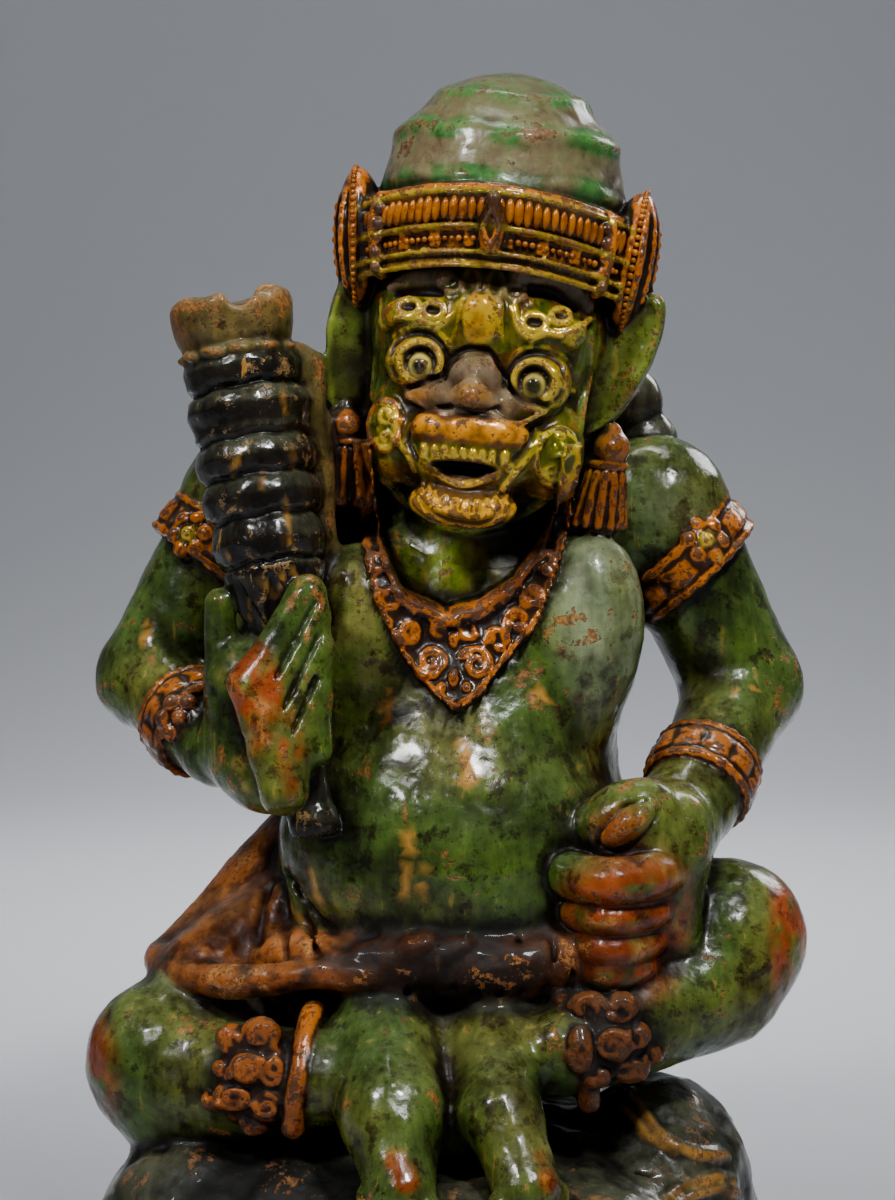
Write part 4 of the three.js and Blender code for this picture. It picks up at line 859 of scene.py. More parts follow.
def carve_ears(block):
    for s, scoop, slope, drop in ((-1, 1.6, 0.06, 3), (1, 4.6, EAR_LEAN, 0)):
        lean = turn_of(0, s * slope, -s * 0.25)

        def leaf(x, y, z):
            return on_head(*(np.array([s * 43, -6, 8 - drop]) + lean @ np.array([s * x, y, z])))

        turn = HEAD_TURN @ lean
        block.add(oval(leaf(0, 0, 0), 9, 6, 26, turn), 3, SKIN)
        block.cut(oval(leaf(1, -7.4, 1), 5.4, scoop, 18, turn), 2, SKIN)
        for x, z in ((-2.4, -3), (0.4, 0), (3.2, 4)):
            ridge = [leaf(x, -2.2, -14 + z), leaf(x * 1.5, -1.6, 0), leaf(x * 0.7, -2.8, 13)]
            block.add(strand(ridge, 1.1, 0.6, 10), 0.8, SKIN)
        rim = [leaf(math.cos(a) * 8.2, -3.4, math.sin(a) * 23.5) for a in once_round(28)]
        block.add(chain(rim, 1), 1.4, SKIN)
        block.add(head_oval(s * 43, -9, -18, 6, 7, 6), 1.4, GILT)
        block.add(oval(on_head(s * 43, -9, -13), 3, 3, 3.4), 1, GILT)
        block.add(limb(on_head(s * 42, -8, -28), on_head(s * 41, -6, -40), 6, 8), 3, GILT)
        for a in once_round(12)[:-1]:
            top = on_head(s * 42 + math.cos(a) * 5.6, -8 + math.sin(a) * 5.6, -26)
            foot = on_head(s * 41 + math.cos(a) * 8.2, -6 + math.sin(a) * 8.2, -43)
            block.add(limb(top, foot, 1.1, 1.3), 0.7, GILT)
        block.add(ring(on_head(s * 42.4, -8, -23.4), HEAD_TURN @ np.array([0, 0.05, 1]), 5.4, 1.3), 0.7, GILT)


print("the left ear leans by", EAR_LEAN)

# %% Diadem
DIADEM_FOOT, DIADEM_DIP, HEAD_HALF = 37.0, 8.0, 43.0
DIADEM_HEIGHT, DIADEM_THICKNESS = 25.0, 3.0
RECESS_PITCH = 15  # degrees from one dark recess of the lower row to the next
LINES = (36.8, 41, 49, 59.6)  # heights of the four raised lines at the brow


def dip_at(x):
    return DIADEM_DIP * SCALE * (x / (HEAD_HALF * SCALE)) ** 2


def carve_diadem(block):
    half = DIADEM_HEIGHT / 2
    middle = DIADEM_FOOT * SCALE + half
    wide = HEAD_HALF * SCALE + DIADEM_THICKNESS * 2 + 2

    def tier(low, high, out, relief=None):
        def far(x, y, z):
            fy = y - 2 * SCALE
            reach = np.abs(np.hypot(x, fy) - (HEAD_HALF - 1) * SCALE) - DIADEM_THICKNESS * out
            up = np.abs(z + dip_at(x) - middle - half * (low + high) / 2) - half * (high - low) / 2
            d = np.maximum(reach, up)
            return d if relief is None else d - relief(np.arctan2(x, -fy), (z + dip_at(x)) / SCALE)

        return head_frame(far, (-wide, -wide + 2, middle - half - 14), (wide, wide + 4, middle + half + 2))

    def recesses(angle, z):
        across = np.abs(((np.degrees(angle) / RECESS_PITCH + 0.5) % 1) - 0.5)
        inside = np.minimum((0.36 - across) * RECESS_PITCH * 0.75, 2.5 - np.abs(z - 45))
        return -1.3 * unit(inside / 0.8)

    block.add(tier(-1, 1, 0.5), 2, GILT)
    block.add(tier(0.12, 1, 0.95), 1.2, GILT)
    block.add(tier(-0.55, 0.02, 0.9, recesses), 0.8, GILT)
    ring_at = np.linspace(-math.pi, math.pi, 61)
    for z, out, thick in zip(LINES, (0.75, 1, 1.1, 1.05), (0.9, 0.8, 0.9, 0.8)):
        radius = HEAD_HALF - 1 + DIADEM_THICKNESS * out / SCALE
        line = [on_head(math.sin(a) * radius, 2 - math.cos(a) * radius,
                        z - DIADEM_DIP * (math.sin(a) * radius / HEAD_HALF) ** 2) for a in ring_at]
        block.add(chain(line, thick), 0.6, PEARL)
    block.add(head_oval(0.8, -43, 49, 4.2, 4, 9), 1.5, GILT)
    block.add(head_oval(0.8, -45.6, 57, 2.4, 2.2, 3.4), 0.8, GILT)
    jewel = [on_head(0.8 + x, -47.2, 48.5 + z) for x,
             z in ((0, 6.4), (2.8, 0), (0, -6.4), (-2.8, 0), (0, 6.4))]
    block.add(chain(jewel, 0.8), 0.6, GILT)
    for s in (-1, 1):
        plate = HEAD_TURN @ turn_of(0, s * 0.1, -s * 0.75)
        block.add(oval(on_head(s * 35, -24, 43), 5, 2.4, 14, plate), 1.4, GILT)
        for n in range(5):
            block.add(oval(on_head(s * 35.6, -26.6, 33 + n * 4.6), 2.2, 1.8, 2, plate), 0.8, GILT)

        def ridged(around, z):
            ends = unit((17 * SCALE - np.abs(z)) / 6)
            notches = 0.35 * np.cos(FULL_TURN * z / (3.6 * SCALE)) * unit(np.cos(11 * around))
            return (0.75 * np.cos(11 * around) + notches) * ends

        block.add(flare(s, ridged), 2, GILT)


def flare(s, relief):
    """The ridged leaf that stands out over the ear."""
    c = on_head(s * 43.5, -4, 41)
    m = HEAD_TURN @ turn_of(0, s * 0.1, 0)
    a, b, d = 8 * SCALE, 15 * SCALE, 23 * SCALE

    def far(x, y, z):
        px, py, pz = x - c[0], y - c[1], z - c[2]
        px, py, pz = own_frame(m, px, py, pz)
        return egg_far((px, py, pz), (a, b, d)) - relief(np.arctan2(py / b, px / a), pz)

    return Form(c - 26, c + 26, far)


print(len(LINES), "raised lines on the diadem")

# %% Cap
FOLD_SPACING, FIRST_FOLD, FOLD_DIP = math.radians(25), math.radians(5), 6.4
CAP_FOLD_DEPTH, CAP_FOOT = 1.5, 52.0
CAP_MIDDLE, CAP_HALF = (0.6, 3, 60.5), (38.7, 42, 37.3)
FOLDS_END = math.radians(66)  # above this the crown is smooth


def fold_wave(x, y, z):
    """How far round its wave a fold of the cap is: 1 on a fold, -1 between two. Head frame, millimetres."""
    rx, ry, rz = CAP_HALF
    drape = FOLD_DIP * SCALE * (x / (HEAD_HALF * SCALE)) ** 2
    wander = 1.3 * np.sin(x * 0.11 + 1.0) + 0.8 * np.sin(x * 0.23 - y * 0.07 + z * 0.05)
    around = np.hypot(x - CAP_MIDDLE[0] * SCALE, (y - CAP_MIDDLE[1] * SCALE) * (rx / ry))
    latitude = np.arctan2((z + drape + wander - CAP_MIDDLE[2] * SCALE) * rx / rz, around)
    calm = unit((FOLDS_END - latitude) / 0.3)
    return np.cos(FULL_TURN * (latitude - FIRST_FOLD) / FOLD_SPACING) * calm


def carve_cap(block):
    rx, ry, rz = size(*CAP_HALF)
    c = size(*CAP_MIDDLE)

    def far(x, y, z):
        egg = egg_far((x - c[0], y - c[1], z - c[2]), (rx, ry, rz))
        wave = fold_wave(x, y, z)
        uneven = 0.85 + 0.3 * np.sin(x * 0.09 - y * 0.05 + z * 0.13)
        fold = CAP_FOLD_DEPTH * uneven * np.where(wave > 0, np.abs(wave) ** 1.6, 0.45 * wave)
        return np.maximum(egg - fold, CAP_FOOT * SCALE - z)

    block.add(head_frame(far, c - [rx + 4, ry + 4, 12], c + [rx + 4, ry + 4, rz + 4]), 1.2, CAP)


print("a fold every", round(math.degrees(FOLD_SPACING)), "degrees up the cap")

# %% Hair
CURL_ROWS, CURLS = 4, 7


def curl_places():
    """The middle and the size of each curl."""
    for row in range(CURL_ROWS):
        wide, deep, z = 45 + row * 5, 28 - row * 1.5, 240 - row * 14
        count = CURLS + row
        for n in range(count):
            turn = math.pi * (0.04 + 0.92 * (n + 0.5) / count)
            r = 9.5 + math.sin(n * 2.7 + row)
            centre = at(14 + math.cos(turn) * wide, 22 + math.sin(turn) * deep, z - 5 * math.sin(turn))
            yield centre, r


def carve_hair(block):
    block.eggs(HAIR, (12, 24, 236, 42, 29, 42, 6), (9, 30, 200, 42, 18, 30, 8))
    for centre, r in curl_places():
        block.add(oval(centre, r, r, r + 1), 1.2, HAIR)


print(sum(1 for _ in curl_places()), "curls of hair")

# %% [markdown]
# ## Jewellery
#
# A collar with a point on the chest, armlets with a flower, bracelets, anklets and the carved leaves
# on the shins. On the real figure they stand a few millimetres proud of the skin and are gilded.

# %% Collar
COLLAR_LOW = (
    (-31, 222), (-28, 190), (-27, 183), (-23, 166), (-14, 148), (-8.5, 140.5), (2, 131.5), (10, 136),
    (18, 146), (28.5, 158), (34, 172), (39, 188), (43, 222),
)
COLLAR_HIGH = (
    (-25, 222), (-22.5, 192), (-20.6, 182.6), (-14, 169.3), (-0.6, 163), (10, 165.4), (20.6, 172), (30, 185),
    (34, 194), (37, 222),
)
COLLAR_SCROLLS = (
    (-21.5, 177, 3.2), (-17.8, 166.7, 4), (-12.5, 155.4, 3.8), (-5.3, 146.1, 5), (9.2, 145.4, 5),
    (15.8, 152.1, 3.8), (22, 158.5, 3.8), (27.1, 166, 3.6), (31.5, 177, 3.2), (-2.6, 155.5, 3),
    (6.6, 155.5, 3),
)
COLLAR_BEADS = (
    (2, 152, 1.9, 3.2), (2, 140.5, 1.7, 4.2), (-1.9, 138.4, 1.5, 1.8), (6, 138.4, 1.5, 1.8),
    (2, 158.6, 2.2, 2),
)
COLLAR_THICKNESS, COLLAR_BAND, BAND_THICKNESS, BAND_WIDTH = 4.0, 6.4, 3.0, 15.0


def carve_collar(block):
    lows, highs = np.array(COLLAR_LOW, float), np.array(COLLAR_HIGH, float)

    def rise(x, y, z):
        u, h = x / SCALE, (z - ROCK_HEIGHT) / SCALE
        low = h - np.interp(u, lows[:, 0], lows[:, 1])
        high = np.interp(u, highs[:, 0], highs[:, 1]) - h
        inside = np.minimum(low, high)
        plate = COLLAR_THICKNESS * unit(inside / 1.5 + 0.5)
        trench = 2 * unit((low - 0.8) / 0.8) * unit((high - COLLAR_BAND) / 0.8)
        band_dip = 0.7 * np.cos(FULL_TURN * (high / COLLAR_BAND)) * (high < COLLAR_BAND)
        return (plate - trench - band_dip * (inside > 0.8)).astype(np.float32)

    block.lift(at(-31, -64, 130), at(43, 20, 214), rise, GILT)
    for n, (x, z, r) in enumerate(COLLAR_SCROLLS):
        hand = 1 if x < 2 else -1
        starts = [at(px, -90, pz) for px, pz in curl(x, z, r, 1.5, 2.4 + n * 0.5 * hand, hand)]
        block.rope(on_front(block, starts), 1.7, 1.1, 18, 0.6, GILT)
    for x, z, wide, tall in COLLAR_BEADS:
        p = on_skin(block, at(x, -90, z), BACK)
        if p is not None:
            block.add(oval(p, wide, 1.8, tall), 0.6, GILT)


print(len(COLLAR_SCROLLS), "scrolls and", len(COLLAR_BEADS), "beads on the collar")

# %% Bands, flowers and leaves
def bead_row(s, angle):
    """Relief of a band: a rope on each edge, scallops between and a groove beside them."""
    edge = 0.9 * unit((np.abs(s) - 0.66) * 6) * (1 + 0.25 * np.cos(angle * 24))
    scallops = 1.3 * np.abs(np.cos(angle * 5.5 + 0.6 * np.abs(s))) ** 0.7 * unit((0.55 - np.abs(s)) * 6)
    return edge + scallops - 0.7


def worn(limb_name, share, width, loose=0.0, tilt=None):
    a, b, ra, rb = LIMBS[limb_name]
    axis = b - a if tilt is None else tilt @ (b - a)
    return band(a + (b - a) * share, axis, ra + (rb - ra) * share + loose, BAND_THICKNESS, width, bead_row)


LEAVES = [  # carved leaves on the shins: to the figure's left, height, half width, half height
    (-67, 31, 5.5, 5), (-58, 33, 6.5, 6), (-62, 23, 6, 5.5), (-54, 23, 5, 7), (-66, 14, 7, 5),
    (-56, 11, 6, 5.5), (-70, 22, 3.5, 3), (-73, 11, 4, 3), (-60, 4, 5, 3.5), (44, 42, 7, 5), (54, 42, 5.5, 5),
    (41, 30, 4.5, 8), (51, 31, 6.5, 6), (59, 33, 4.5, 4.5), (56, 22, 7, 4.5), (47, 21, 4, 4), (64, 25, 4, 3),
]
LEAF_BEDS = (((-61, -71, 21), 10, 7, 17, 0.25), ((50, -72, 32), 10.5, 8, 13, -0.3))


def carve_jewellery(block):
    carve_collar(block)
    bands = (
        ("fore_l", 0.8, BAND_WIDTH * 1.1), ("fore_r", 0.66, BAND_WIDTH),
        ("upper_l", 0.29, BAND_WIDTH, 1.5, turn_of(0, -0.3, 0)),
        ("upper_r", 0.3, BAND_WIDTH, 1, turn_of(0, 0.15, 0)),
    )
    for given in bands:
        block.add(worn(*given), 0.8, GILT)
    for name, outward in (("upper_l", (0.25, -1, 0.35)), ("upper_r", (-0.45, -1, 0.35)),
                          ("fore_r", (-0.2, -1, 0.2))):
        a, b, ra, rb = LIMBS[name]
        share = 0.66 if name == "fore_r" else 0.29
        middle = a + (b - a) * share
        outward, side, up = frame_about(outward, [0, 0.2, 1])
        centre = middle + outward * ((ra + (rb - ra) * share) * SCALE + BAND_THICKNESS)
        for a in once_round(6)[:-1]:
            block.add(oval(centre + (side * math.cos(a) + up * math.sin(a)) * 5.4, 3.1, 2.2, 3.1), 0.6, GILT)
        block.add(oval(centre + outward * 1.5, 2.6, 2.6, 2.6), 0.4, PEARL)
    for line in ((at(-40, -49, 38), at(-43, -66, 36), at(-46, -80, 20), at(-48, -76, 4)),
                 (at(34, -50, 44), at(36, -66, 42), at(42, -80, 28), at(44, -74, 12))):
        block.add(strand(line, 3.6, 3.8, 18), 1.2, GILT)
    for middle, wide, deep, tall, lean in LEAF_BEDS:
        block.add(oval(at(*middle), wide, deep, tall, turn_of(0, lean, 0)), 3, GILT)
    for x, z, rx, rz in LEAVES:
        middle = on_skin(block, at(x, -110, z), BACK)
        if middle is None:
            continue
        block.add(oval(middle + [0, 1.2, 0], rx, 3.6, rz), 0.8, GILT)
        turns = np.linspace(0, 9, 15)
        coil = [middle + size(math.cos(t + x) * rx * (0.8 - 0.07 * t), -20,
                              math.sin(t + x) * rz * (0.8 - 0.07 * t)) for t in turns]
        block.rope(on_front(block, coil), 1.3, 0.9, 20, 0.6, GILT)


print(len(LEAVES), "leaves on the shins")

# %% [markdown]
# ## From the block to a skin
#
# Blender could turn a volume into a mesh, but its mesh doesn't know which paint it crosses. Here one
# vertex goes in each cell that the skin crosses, at the middle of its crossings, and one quad on each
# crossed edge of the grid. A cell where two skins would touch at a point is filled first, so that
# the mesh is closed and has two faces at every edge.

# %% Skin of a block
CORNERS = np.array([(i, j, k) for k in (0, 1) for j in (0, 1) for i in (0, 1)])
EDGES = [(a, a | bit) for bit in (1, 2, 4) for a in range(8) if not a & bit]
FILL_DEPTH = 0.1


def hangs_together(mask):
    seen, grown = mask & -mask, True
    while grown:
        grown = False
        for a, b in EDGES:
            pair = (1 << a) | (1 << b)
            if mask & pair == pair and seen & pair and seen & pair != pair:
                seen, grown = seen | pair, True
    return seen == mask


SOUND = np.array([hangs_together(m) and hangs_together(255 ^ m) for m in range(256)])


def corner_views(grid):
    nx, ny, nz = (n - 1 for n in grid.shape)
    return [grid[i : i + nx, j : j + ny, k : k + nz] for i, j, k in CORNERS]


def fill_pinches(block):
    filled = 0
    for _ in range(12):
        mask = np.zeros([n - 1 for n in block.grid.shape], np.uint8)
        for n, corner in enumerate(corner_views(block.grid < 0)):
            mask |= corner.astype(np.uint8) << n
        cells = np.argwhere(~SOUND[mask])
        if not len(cells):
            break
        values = np.stack([block.grid[tuple((cells + c).T)] for c in CORNERS], 1)
        nearest = np.argmin(np.where(values < 0, np.inf, values), 1)
        block.grid[tuple((cells + CORNERS[nearest]).T)] = -FILL_DEPTH * block.step
        filled += len(cells)
    return filled


def skin_of(block):
    solid = block.grid < 0
    count = sum(corner.astype(np.uint8) for corner in corner_views(solid))
    active = (count > 0) & (count < 8)
    cells = np.argwhere(active)
    number = np.full(block.grid.shape, -1, np.int32)
    number[tuple(cells.T)] = np.arange(len(cells))
    values = np.stack([block.grid[tuple((cells + c).T)] for c in CORNERS], 1)
    total, crossings = np.zeros((len(cells), 3)), np.zeros(len(cells))
    for a, b in EDGES:
        hit = (values[:, a] < 0) != (values[:, b] < 0)
        t = values[hit, a] / (values[hit, a] - values[hit, b])
        total[hit] += CORNERS[a] + (CORNERS[b] - CORNERS[a]) * t[:, None]
        crossings[hit] += 1
    points = block.low + (cells + total / crossings[:, None]) * block.step
    quads = []
    for axis in range(3):
        step, u, v = (np.eye(3, dtype=int)[(axis + n) % 3] for n in range(3))
        inside = solid[tuple(cells.T)]
        ahead = solid[tuple(np.minimum(cells + step, np.array(solid.shape) - 1).T)]
        here = cells[inside != ahead]
        wood = inside[inside != ahead]
        corners = [number[tuple(np.maximum(here - shift, 0).T)] for shift in (0 * u, u, u + v, v)]
        ring_of = np.stack(corners, 1)
        ring_of[~wood] = ring_of[~wood][:, ::-1]
        quads.append(ring_of[np.all(ring_of >= 0, 1)])
    return points, np.concatenate(quads)


def normals_of(points, quads):
    p = points[quads]
    n = np.cross(p[:, 2] - p[:, 0], p[:, 3] - p[:, 1])
    total = np.stack([
        np.bincount(quads.ravel(), np.repeat(n[:, a], quads.shape[1]), len(points)) for a in range(3)
    ], 1)
    return total / np.maximum(np.linalg.norm(total, axis=1), NEAR)[:, None]


print(int(SOUND.sum()), "of 256 cells are sound")

# %% [markdown]
# ## Tool marks
#
# A gouge leaves shallow facets, the rock is rougher than the skin, and hair runs in strands. Such
# marks are lower than a millimetre, so they are pushed into the finished skin along its normals.

# %% Noise and grid readings
LATTICE = 32


def noise_at(points, grain, seed):
    """Smooth noise between -1 and 1 with lumps about as large as the grain, in millimetres."""
    lattice = np.random.default_rng(seed).uniform(-1, 1, (LATTICE,) * 3).astype(np.float32)
    q = points / grain
    base = np.floor(q).astype(int)
    f = q - base
    f = f * f * (3 - 2 * f)
    total = np.zeros(len(points))
    for corner in CORNERS:
        weight = np.prod(np.where(corner, f, 1 - f), axis=1)
        total += weight * lattice[tuple(((base + corner) % LATTICE).T)]
    return total


def cell_of(low, step, shape, points):
    q = (points - low) / step
    base = np.clip(np.floor(q).astype(int), 0, np.array(shape) - 2)
    return base, unit(q - base)


def read_grid(grid, low, step, points):
    base, f = cell_of(low, step, grid.shape, points)
    return sum(
        np.prod(np.where(c, f, 1 - f), axis=1) * grid[tuple((base + c).T)] for c in CORNERS
    )


def paint_shares(block, points):
    """How much of each paint is at each point."""
    base, f = cell_of(block.low, block.step, block.paint.shape, points)
    shares = np.zeros((len(points), len(PAINTS)), np.float32)
    rows = np.arange(len(points))
    for c in CORNERS:
        shares[rows, block.paint[tuple((base + c).T)]] += np.prod(np.where(c, f, 1 - f), axis=1)
    return shares


def blurred(grid, passes):
    for _ in range(passes):
        for a in range(3):
            grid = np.moveaxis(grid, a, 0)
            grid = np.concatenate([grid[:1], (grid[:-2] + 2 * grid[1:-1] + grid[2:]) / 4, grid[-1:]])
            grid = np.moveaxis(grid, 0, a)
    return grid


def bend_at(block, points, blur):
    """How far the blurred skin lies from the skin: above zero on edges, below zero in hollows."""
    thin = max(1, int(round(blur / 1.3 / block.step)))
    grid = np.clip(block.grid[::thin, ::thin, ::thin], -3 * blur, 3 * blur)
    step = block.step * thin
    return read_grid(blurred(grid, max(2, int(round(2 * (blur / step) ** 2)))), block.low, step,
                     points) / blur


def tool_marks(points, shares):
    """How far each point moves along its normal, in millimetres."""
    soft = noise_at(points, 14, 1) * 0.55 + noise_at(points, 6.5, 8) * 0.32 + noise_at(points, 3.2, 2) * 0.13
    rough = noise_at(points, 13, 3) * 1.1 + noise_at(points, 5, 4) * 0.5 + noise_at(points, 2.2, 5) * 0.2
    worked = noise_at(points, 2.6, 6) * 0.16
    run = noise_at(points * [1, 1, 0.35], 2.2, 7) * 0.28
    smooth = shares[:, [EYE, PEARL, MOUTH]].sum(1) * 0.05
    share = {SKIN: soft, LEAF: worked, CAP: soft * 0.8, GILT: worked, CLOTH: soft + worked, HAIR: run,
             ROCK: rough, BARE: rough * 0.45, LACQUER: worked + soft * 0.5, NOSE: worked}
    return sum(shares[:, paint] * move for paint, move in share.items()) + smooth * worked


print("tool marks ready")

# %% [markdown]
# ## Carving the block
#
# One block as fine as the face needs would be far too heavy for the rest, so the wood is carved in
# three blocks: head, body and base. Each block sinks away just past its border, where the next one
# takes over, so no step or gap shows. The border of the head runs under the chin and the hair.

# %% Carve
STEP = {"head": 0.68, "body": 0.95, "base": 1.4}
MOST_TRIANGLES = {"head": 196000, "body": 196000, "base": 60000}
BASE_TOP = 40.0  # below the toes
OVERLAP, SINK = 4.0, 0.35
HEAD_SHARE = together([oval(at(12, -2, 250), 54, 90, 80), limb(at(12, -6, 262), at(12, -6, 330), 62)])
REACH = {"head": (at(-56, -76, 168), at(82, 70, 336)),
         "body": (at(-122, -126, 0) * [1, 1, 0] + [0, 0, BASE_TOP - OVERLAP], at(124, 80, 268)),
         "base": (at(-134, -128, 0) * [1, 1, 0] - [0, 0, 4],
                  at(126, 86, 0) * [1, 1, 0] + [0, 0, BASE_TOP + OVERLAP])}


def border_of(name, block):
    """Below zero where the wood belongs to this block."""
    _, axes = block.reach(block.low, block.low + np.array(block.count) * block.step, 0)
    z = np.broadcast_to(axes[2], block.grid.shape)
    if name == "base":
        return z - BASE_TOP
    head = np.full(block.grid.shape, AIR, np.float32)
    for part in HEAD_SHARE.parts:
        head = np.minimum(head, part.far(*axes))
    return head if name == "head" else np.maximum(-head, BASE_TOP - z)


def carve(name):
    block = Block(*REACH[name], STEP[name])
    carve_rock(block)
    if name != "base":
        carve_trunk(block)
        carve_legs(block)
        carve_cloth(block)
        carve_arms(block)
        carve_hair(block)
        carve_skull(block)
        carve_ears(block)
    if name == "head":
        for x, z, side in EYES:
            carve_eye(block, x, z, side)
        carve_nose(block)
        carve_mouth(block)
        carve_scrolls(block)
        carve_cap(block)
        carve_diadem(block)
    if name == "body":
        carve_club(block)
        carve_club_hand(block)
        carve_resting_hand(block)
        carve_jewellery(block)
    elif name == "head":
        carve_club(block)
        carve_collar(block)
    border = border_of(name, block)
    block.whole = block.grid.copy()
    block.grid = np.maximum(block.grid + SINK * np.maximum(border, 0), border - OVERLAP)
    if name == "base":
        z = block.low[2] + np.arange(block.count[2]) * block.step
        block.grid = np.maximum(block.grid, -z[None, None, :].astype(np.float32))
    edge = np.ones(block.grid.shape, bool)
    edge[1:-1, 1:-1, 1:-1] = False
    block.grid[edge] = np.maximum(block.grid[edge], 0.2 * block.step)
    return block


blocks = {}
for name in STEP:
    began = time.time()
    blocks[name] = carve(name)
    print(name, blocks[name].count, "cells,", fill_pinches(blocks[name]), "pinches filled,",
          round(time.time() - began, 1), "s")

# %% [markdown]
# ## Meshes
#
# The raw skins hold several hundred thousand faces. Decimate collapses the flattest ones first and
# keeps the face's detail, so each piece stays below its budget.

# %% Reading and writing meshes
def mesh_from(name, points, faces):
    mesh = bpy.data.meshes.new(name)
    mesh.vertices.add(len(points))
    mesh.vertices.foreach_set("co", (points / 1000).astype(np.float32).ravel())
    sides = faces.shape[1]
    mesh.loops.add(len(faces) * sides)
    mesh.loops.foreach_set("vertex_index", faces.astype(np.int32).ravel())
    mesh.polygons.add(len(faces))
    mesh.polygons.foreach_set("loop_start", np.arange(len(faces), dtype=np.int32) * sides)
    mesh.update(calc_edges=True)
    mesh.validate()
    return mesh


def points_of(mesh):
    points = np.empty(len(mesh.vertices) * 3, np.float32)
    mesh.vertices.foreach_get("co", points)
    return points.reshape(-1, 3).astype(float) * 1000


def evaluated(obj, name):
    """The object as its modifiers leave it, as a plain mesh."""
    bpy.context.view_layer.update()
    result = bpy.data.meshes.new_from_object(obj.evaluated_get(bpy.context.evaluated_depsgraph_get()))
    result.name = name
    return result


def link(name, mesh):
    obj = bpy.data.objects.new(name, mesh)
    bpy.context.scene.collection.objects.link(obj)
    return obj


print("mesh helpers ready")

# %% Make the meshes
carved = {}
for name, block in blocks.items():
    began = time.time()
    points, quads = skin_of(block)
    normals = normals_of(points, quads)
    shares = paint_shares(block, points - normals * 0.4)
    points = points + normals * tool_marks(points, shares)[:, None]
    if name == "base":
        points[:, 2] = np.maximum(points[:, 2], 0)
    obj = link("guardian_" + name, mesh_from("guardian_" + name, points + TO_FRAME, quads))
    ratio = min(1.0, MOST_TRIANGLES[name] / (2 * len(quads)))
    if ratio < 1:
        thinner = obj.modifiers.new("thinner", "DECIMATE")
        thinner.ratio = ratio
        thinner.use_collapse_triangulate = True
        mesh = evaluated(obj, obj.name)
        obj.modifiers.clear()
        obj.data = mesh
    obj.data.shade_smooth()
    carved[name] = obj
    print(obj.name, 2 * len(quads), "triangles thinned to", len(obj.data.polygons), "in",
          round(time.time() - began, 1), "s")

# %% [markdown]
# ## Paint
#
# The painter's scheme: dark green skin over a brown ground, gold leaf on the face, orange-brown
# gilding on the jewels, black lacquer on the club and hair, red-brown cloth. Each paint has a first
# and a second tone, the ground that shows where it is chipped, how worn it is, how much ochre has
# run down it, how rough it dries and how much metal it holds. The values go on the vertices, so
# that the brush can follow the carving, and one material reads them.

# %% Palette
PALETTE = {
    # paint: tone in the recesses, tone on the heights, ground,
    # then wear, grime, runs, relief, dust, roughness and metal
    "skin": ((0.022, 0.034, 0.006), (0.062, 0.118, 0.013), (0.33, 0.12, 0.015),
             0.1, 1, 0.25, 0.15, 0.3, 0.24, 0),
    "cap": ((0.12, 0.085, 0.04), (0.095, 0.115, 0.036), (0.16, 0.075, 0.025),
            0.3, 0.4, 0.1, 0.2, 0.35, 0.28, 0),
    "leaf": ((0.04, 0.055, 0.004), (0.62, 0.43, 0.01), (0.16, 0.05, 0.006),
             0.32, 0.7, 0.15, 0.72, 0, 0.2, 0.35),
    "gilt": ((0.034, 0.012, 0.004), (0.44, 0.12, 0.004), (0.03, 0.012, 0.005),
             0.26, 1, 0.1, 1, 0.2, 0.26, 0.15),
    "lacquer": ((0.006, 0.005, 0.004), (0.014, 0.011, 0.007), (0.33, 0.2, 0.07),
                0.12, 0.2, 0.6, 0, 0.5, 0.2, 0),
    "cloth": ((0.06, 0.017, 0.005), (0.36, 0.098, 0.012), (0.4, 0.15, 0.03),
              0.22, 0.7, 0.05, 0.5, 0.3, 0.3, 0),
    "bare": ((0.046, 0.034, 0.009), (0.15, 0.108, 0.028), (0.3, 0.12, 0.024),
             0.35, 1, 0.1, 0.3, 0.4, 0.4, 0),
    "rock": ((0.009, 0.009, 0.006), (0.028, 0.025, 0.015), (0.19, 0.08, 0.025),
             0.08, 0.5, 0.1, 0.3, 0.3, 0.33, 0),
    "mouth": ((0.03, 0.014, 0.008), (0.075, 0.036, 0.02), (0.06, 0.03, 0.014),
              0.1, 0.5, 0, 0, 0, 0.35, 0),
    "pearl": ((0.33, 0.22, 0.015), (0.75, 0.52, 0.045), (0.23, 0.09, 0.016),
              0.2, 0.3, 0.05, 0.6, 0, 0.2, 0.45),
    "eye": ((0.05, 0.042, 0.014), (0.19, 0.16, 0.04), (0.12, 0.07, 0.03),
            0.1, 0.1, 0, 0, 0, 0.12, 0),
    "hair": ((0.009, 0.008, 0.006), (0.03, 0.023, 0.014), (0.17, 0.075, 0.02),
             0.14, 0.2, 0.05, 0.5, 0.9, 0.22, 0),
    "nose": ((0.085, 0.06, 0.035), (0.18, 0.125, 0.075), (0.23, 0.09, 0.03),
             0.18, 0.4, 0.05, 0.3, 0.3, 0.26, 0),
}
COLOURS = ("first", "second", "ground")
AMOUNTS = ("wear", "grime", "runs", "relief", "dust", "rough", "metal")
FIRST, SECOND = (np.array([PALETTE[p][n] for p in PAINTS]) for n in range(2))
RED = np.array([0.32, 0.052, 0.005])
OCHRE = np.array([0.45, 0.22, 0.035])
CAP_GREEN = np.array([0.055, 0.18, 0.036])
DARK = np.array([0.012, 0.01, 0.006])
print(len(PALETTE), "paints mixed")

# %% [markdown]
# ## The coat
#
# A painter lays one tone over another, so a coat here is a list of washes. Each wash has a share for
# every vertex: an egg in space, a stroke along a line, a patch of noise, or a paint's own share. Later
# washes lie on earlier ones, so their order matters as it does on the real wood.

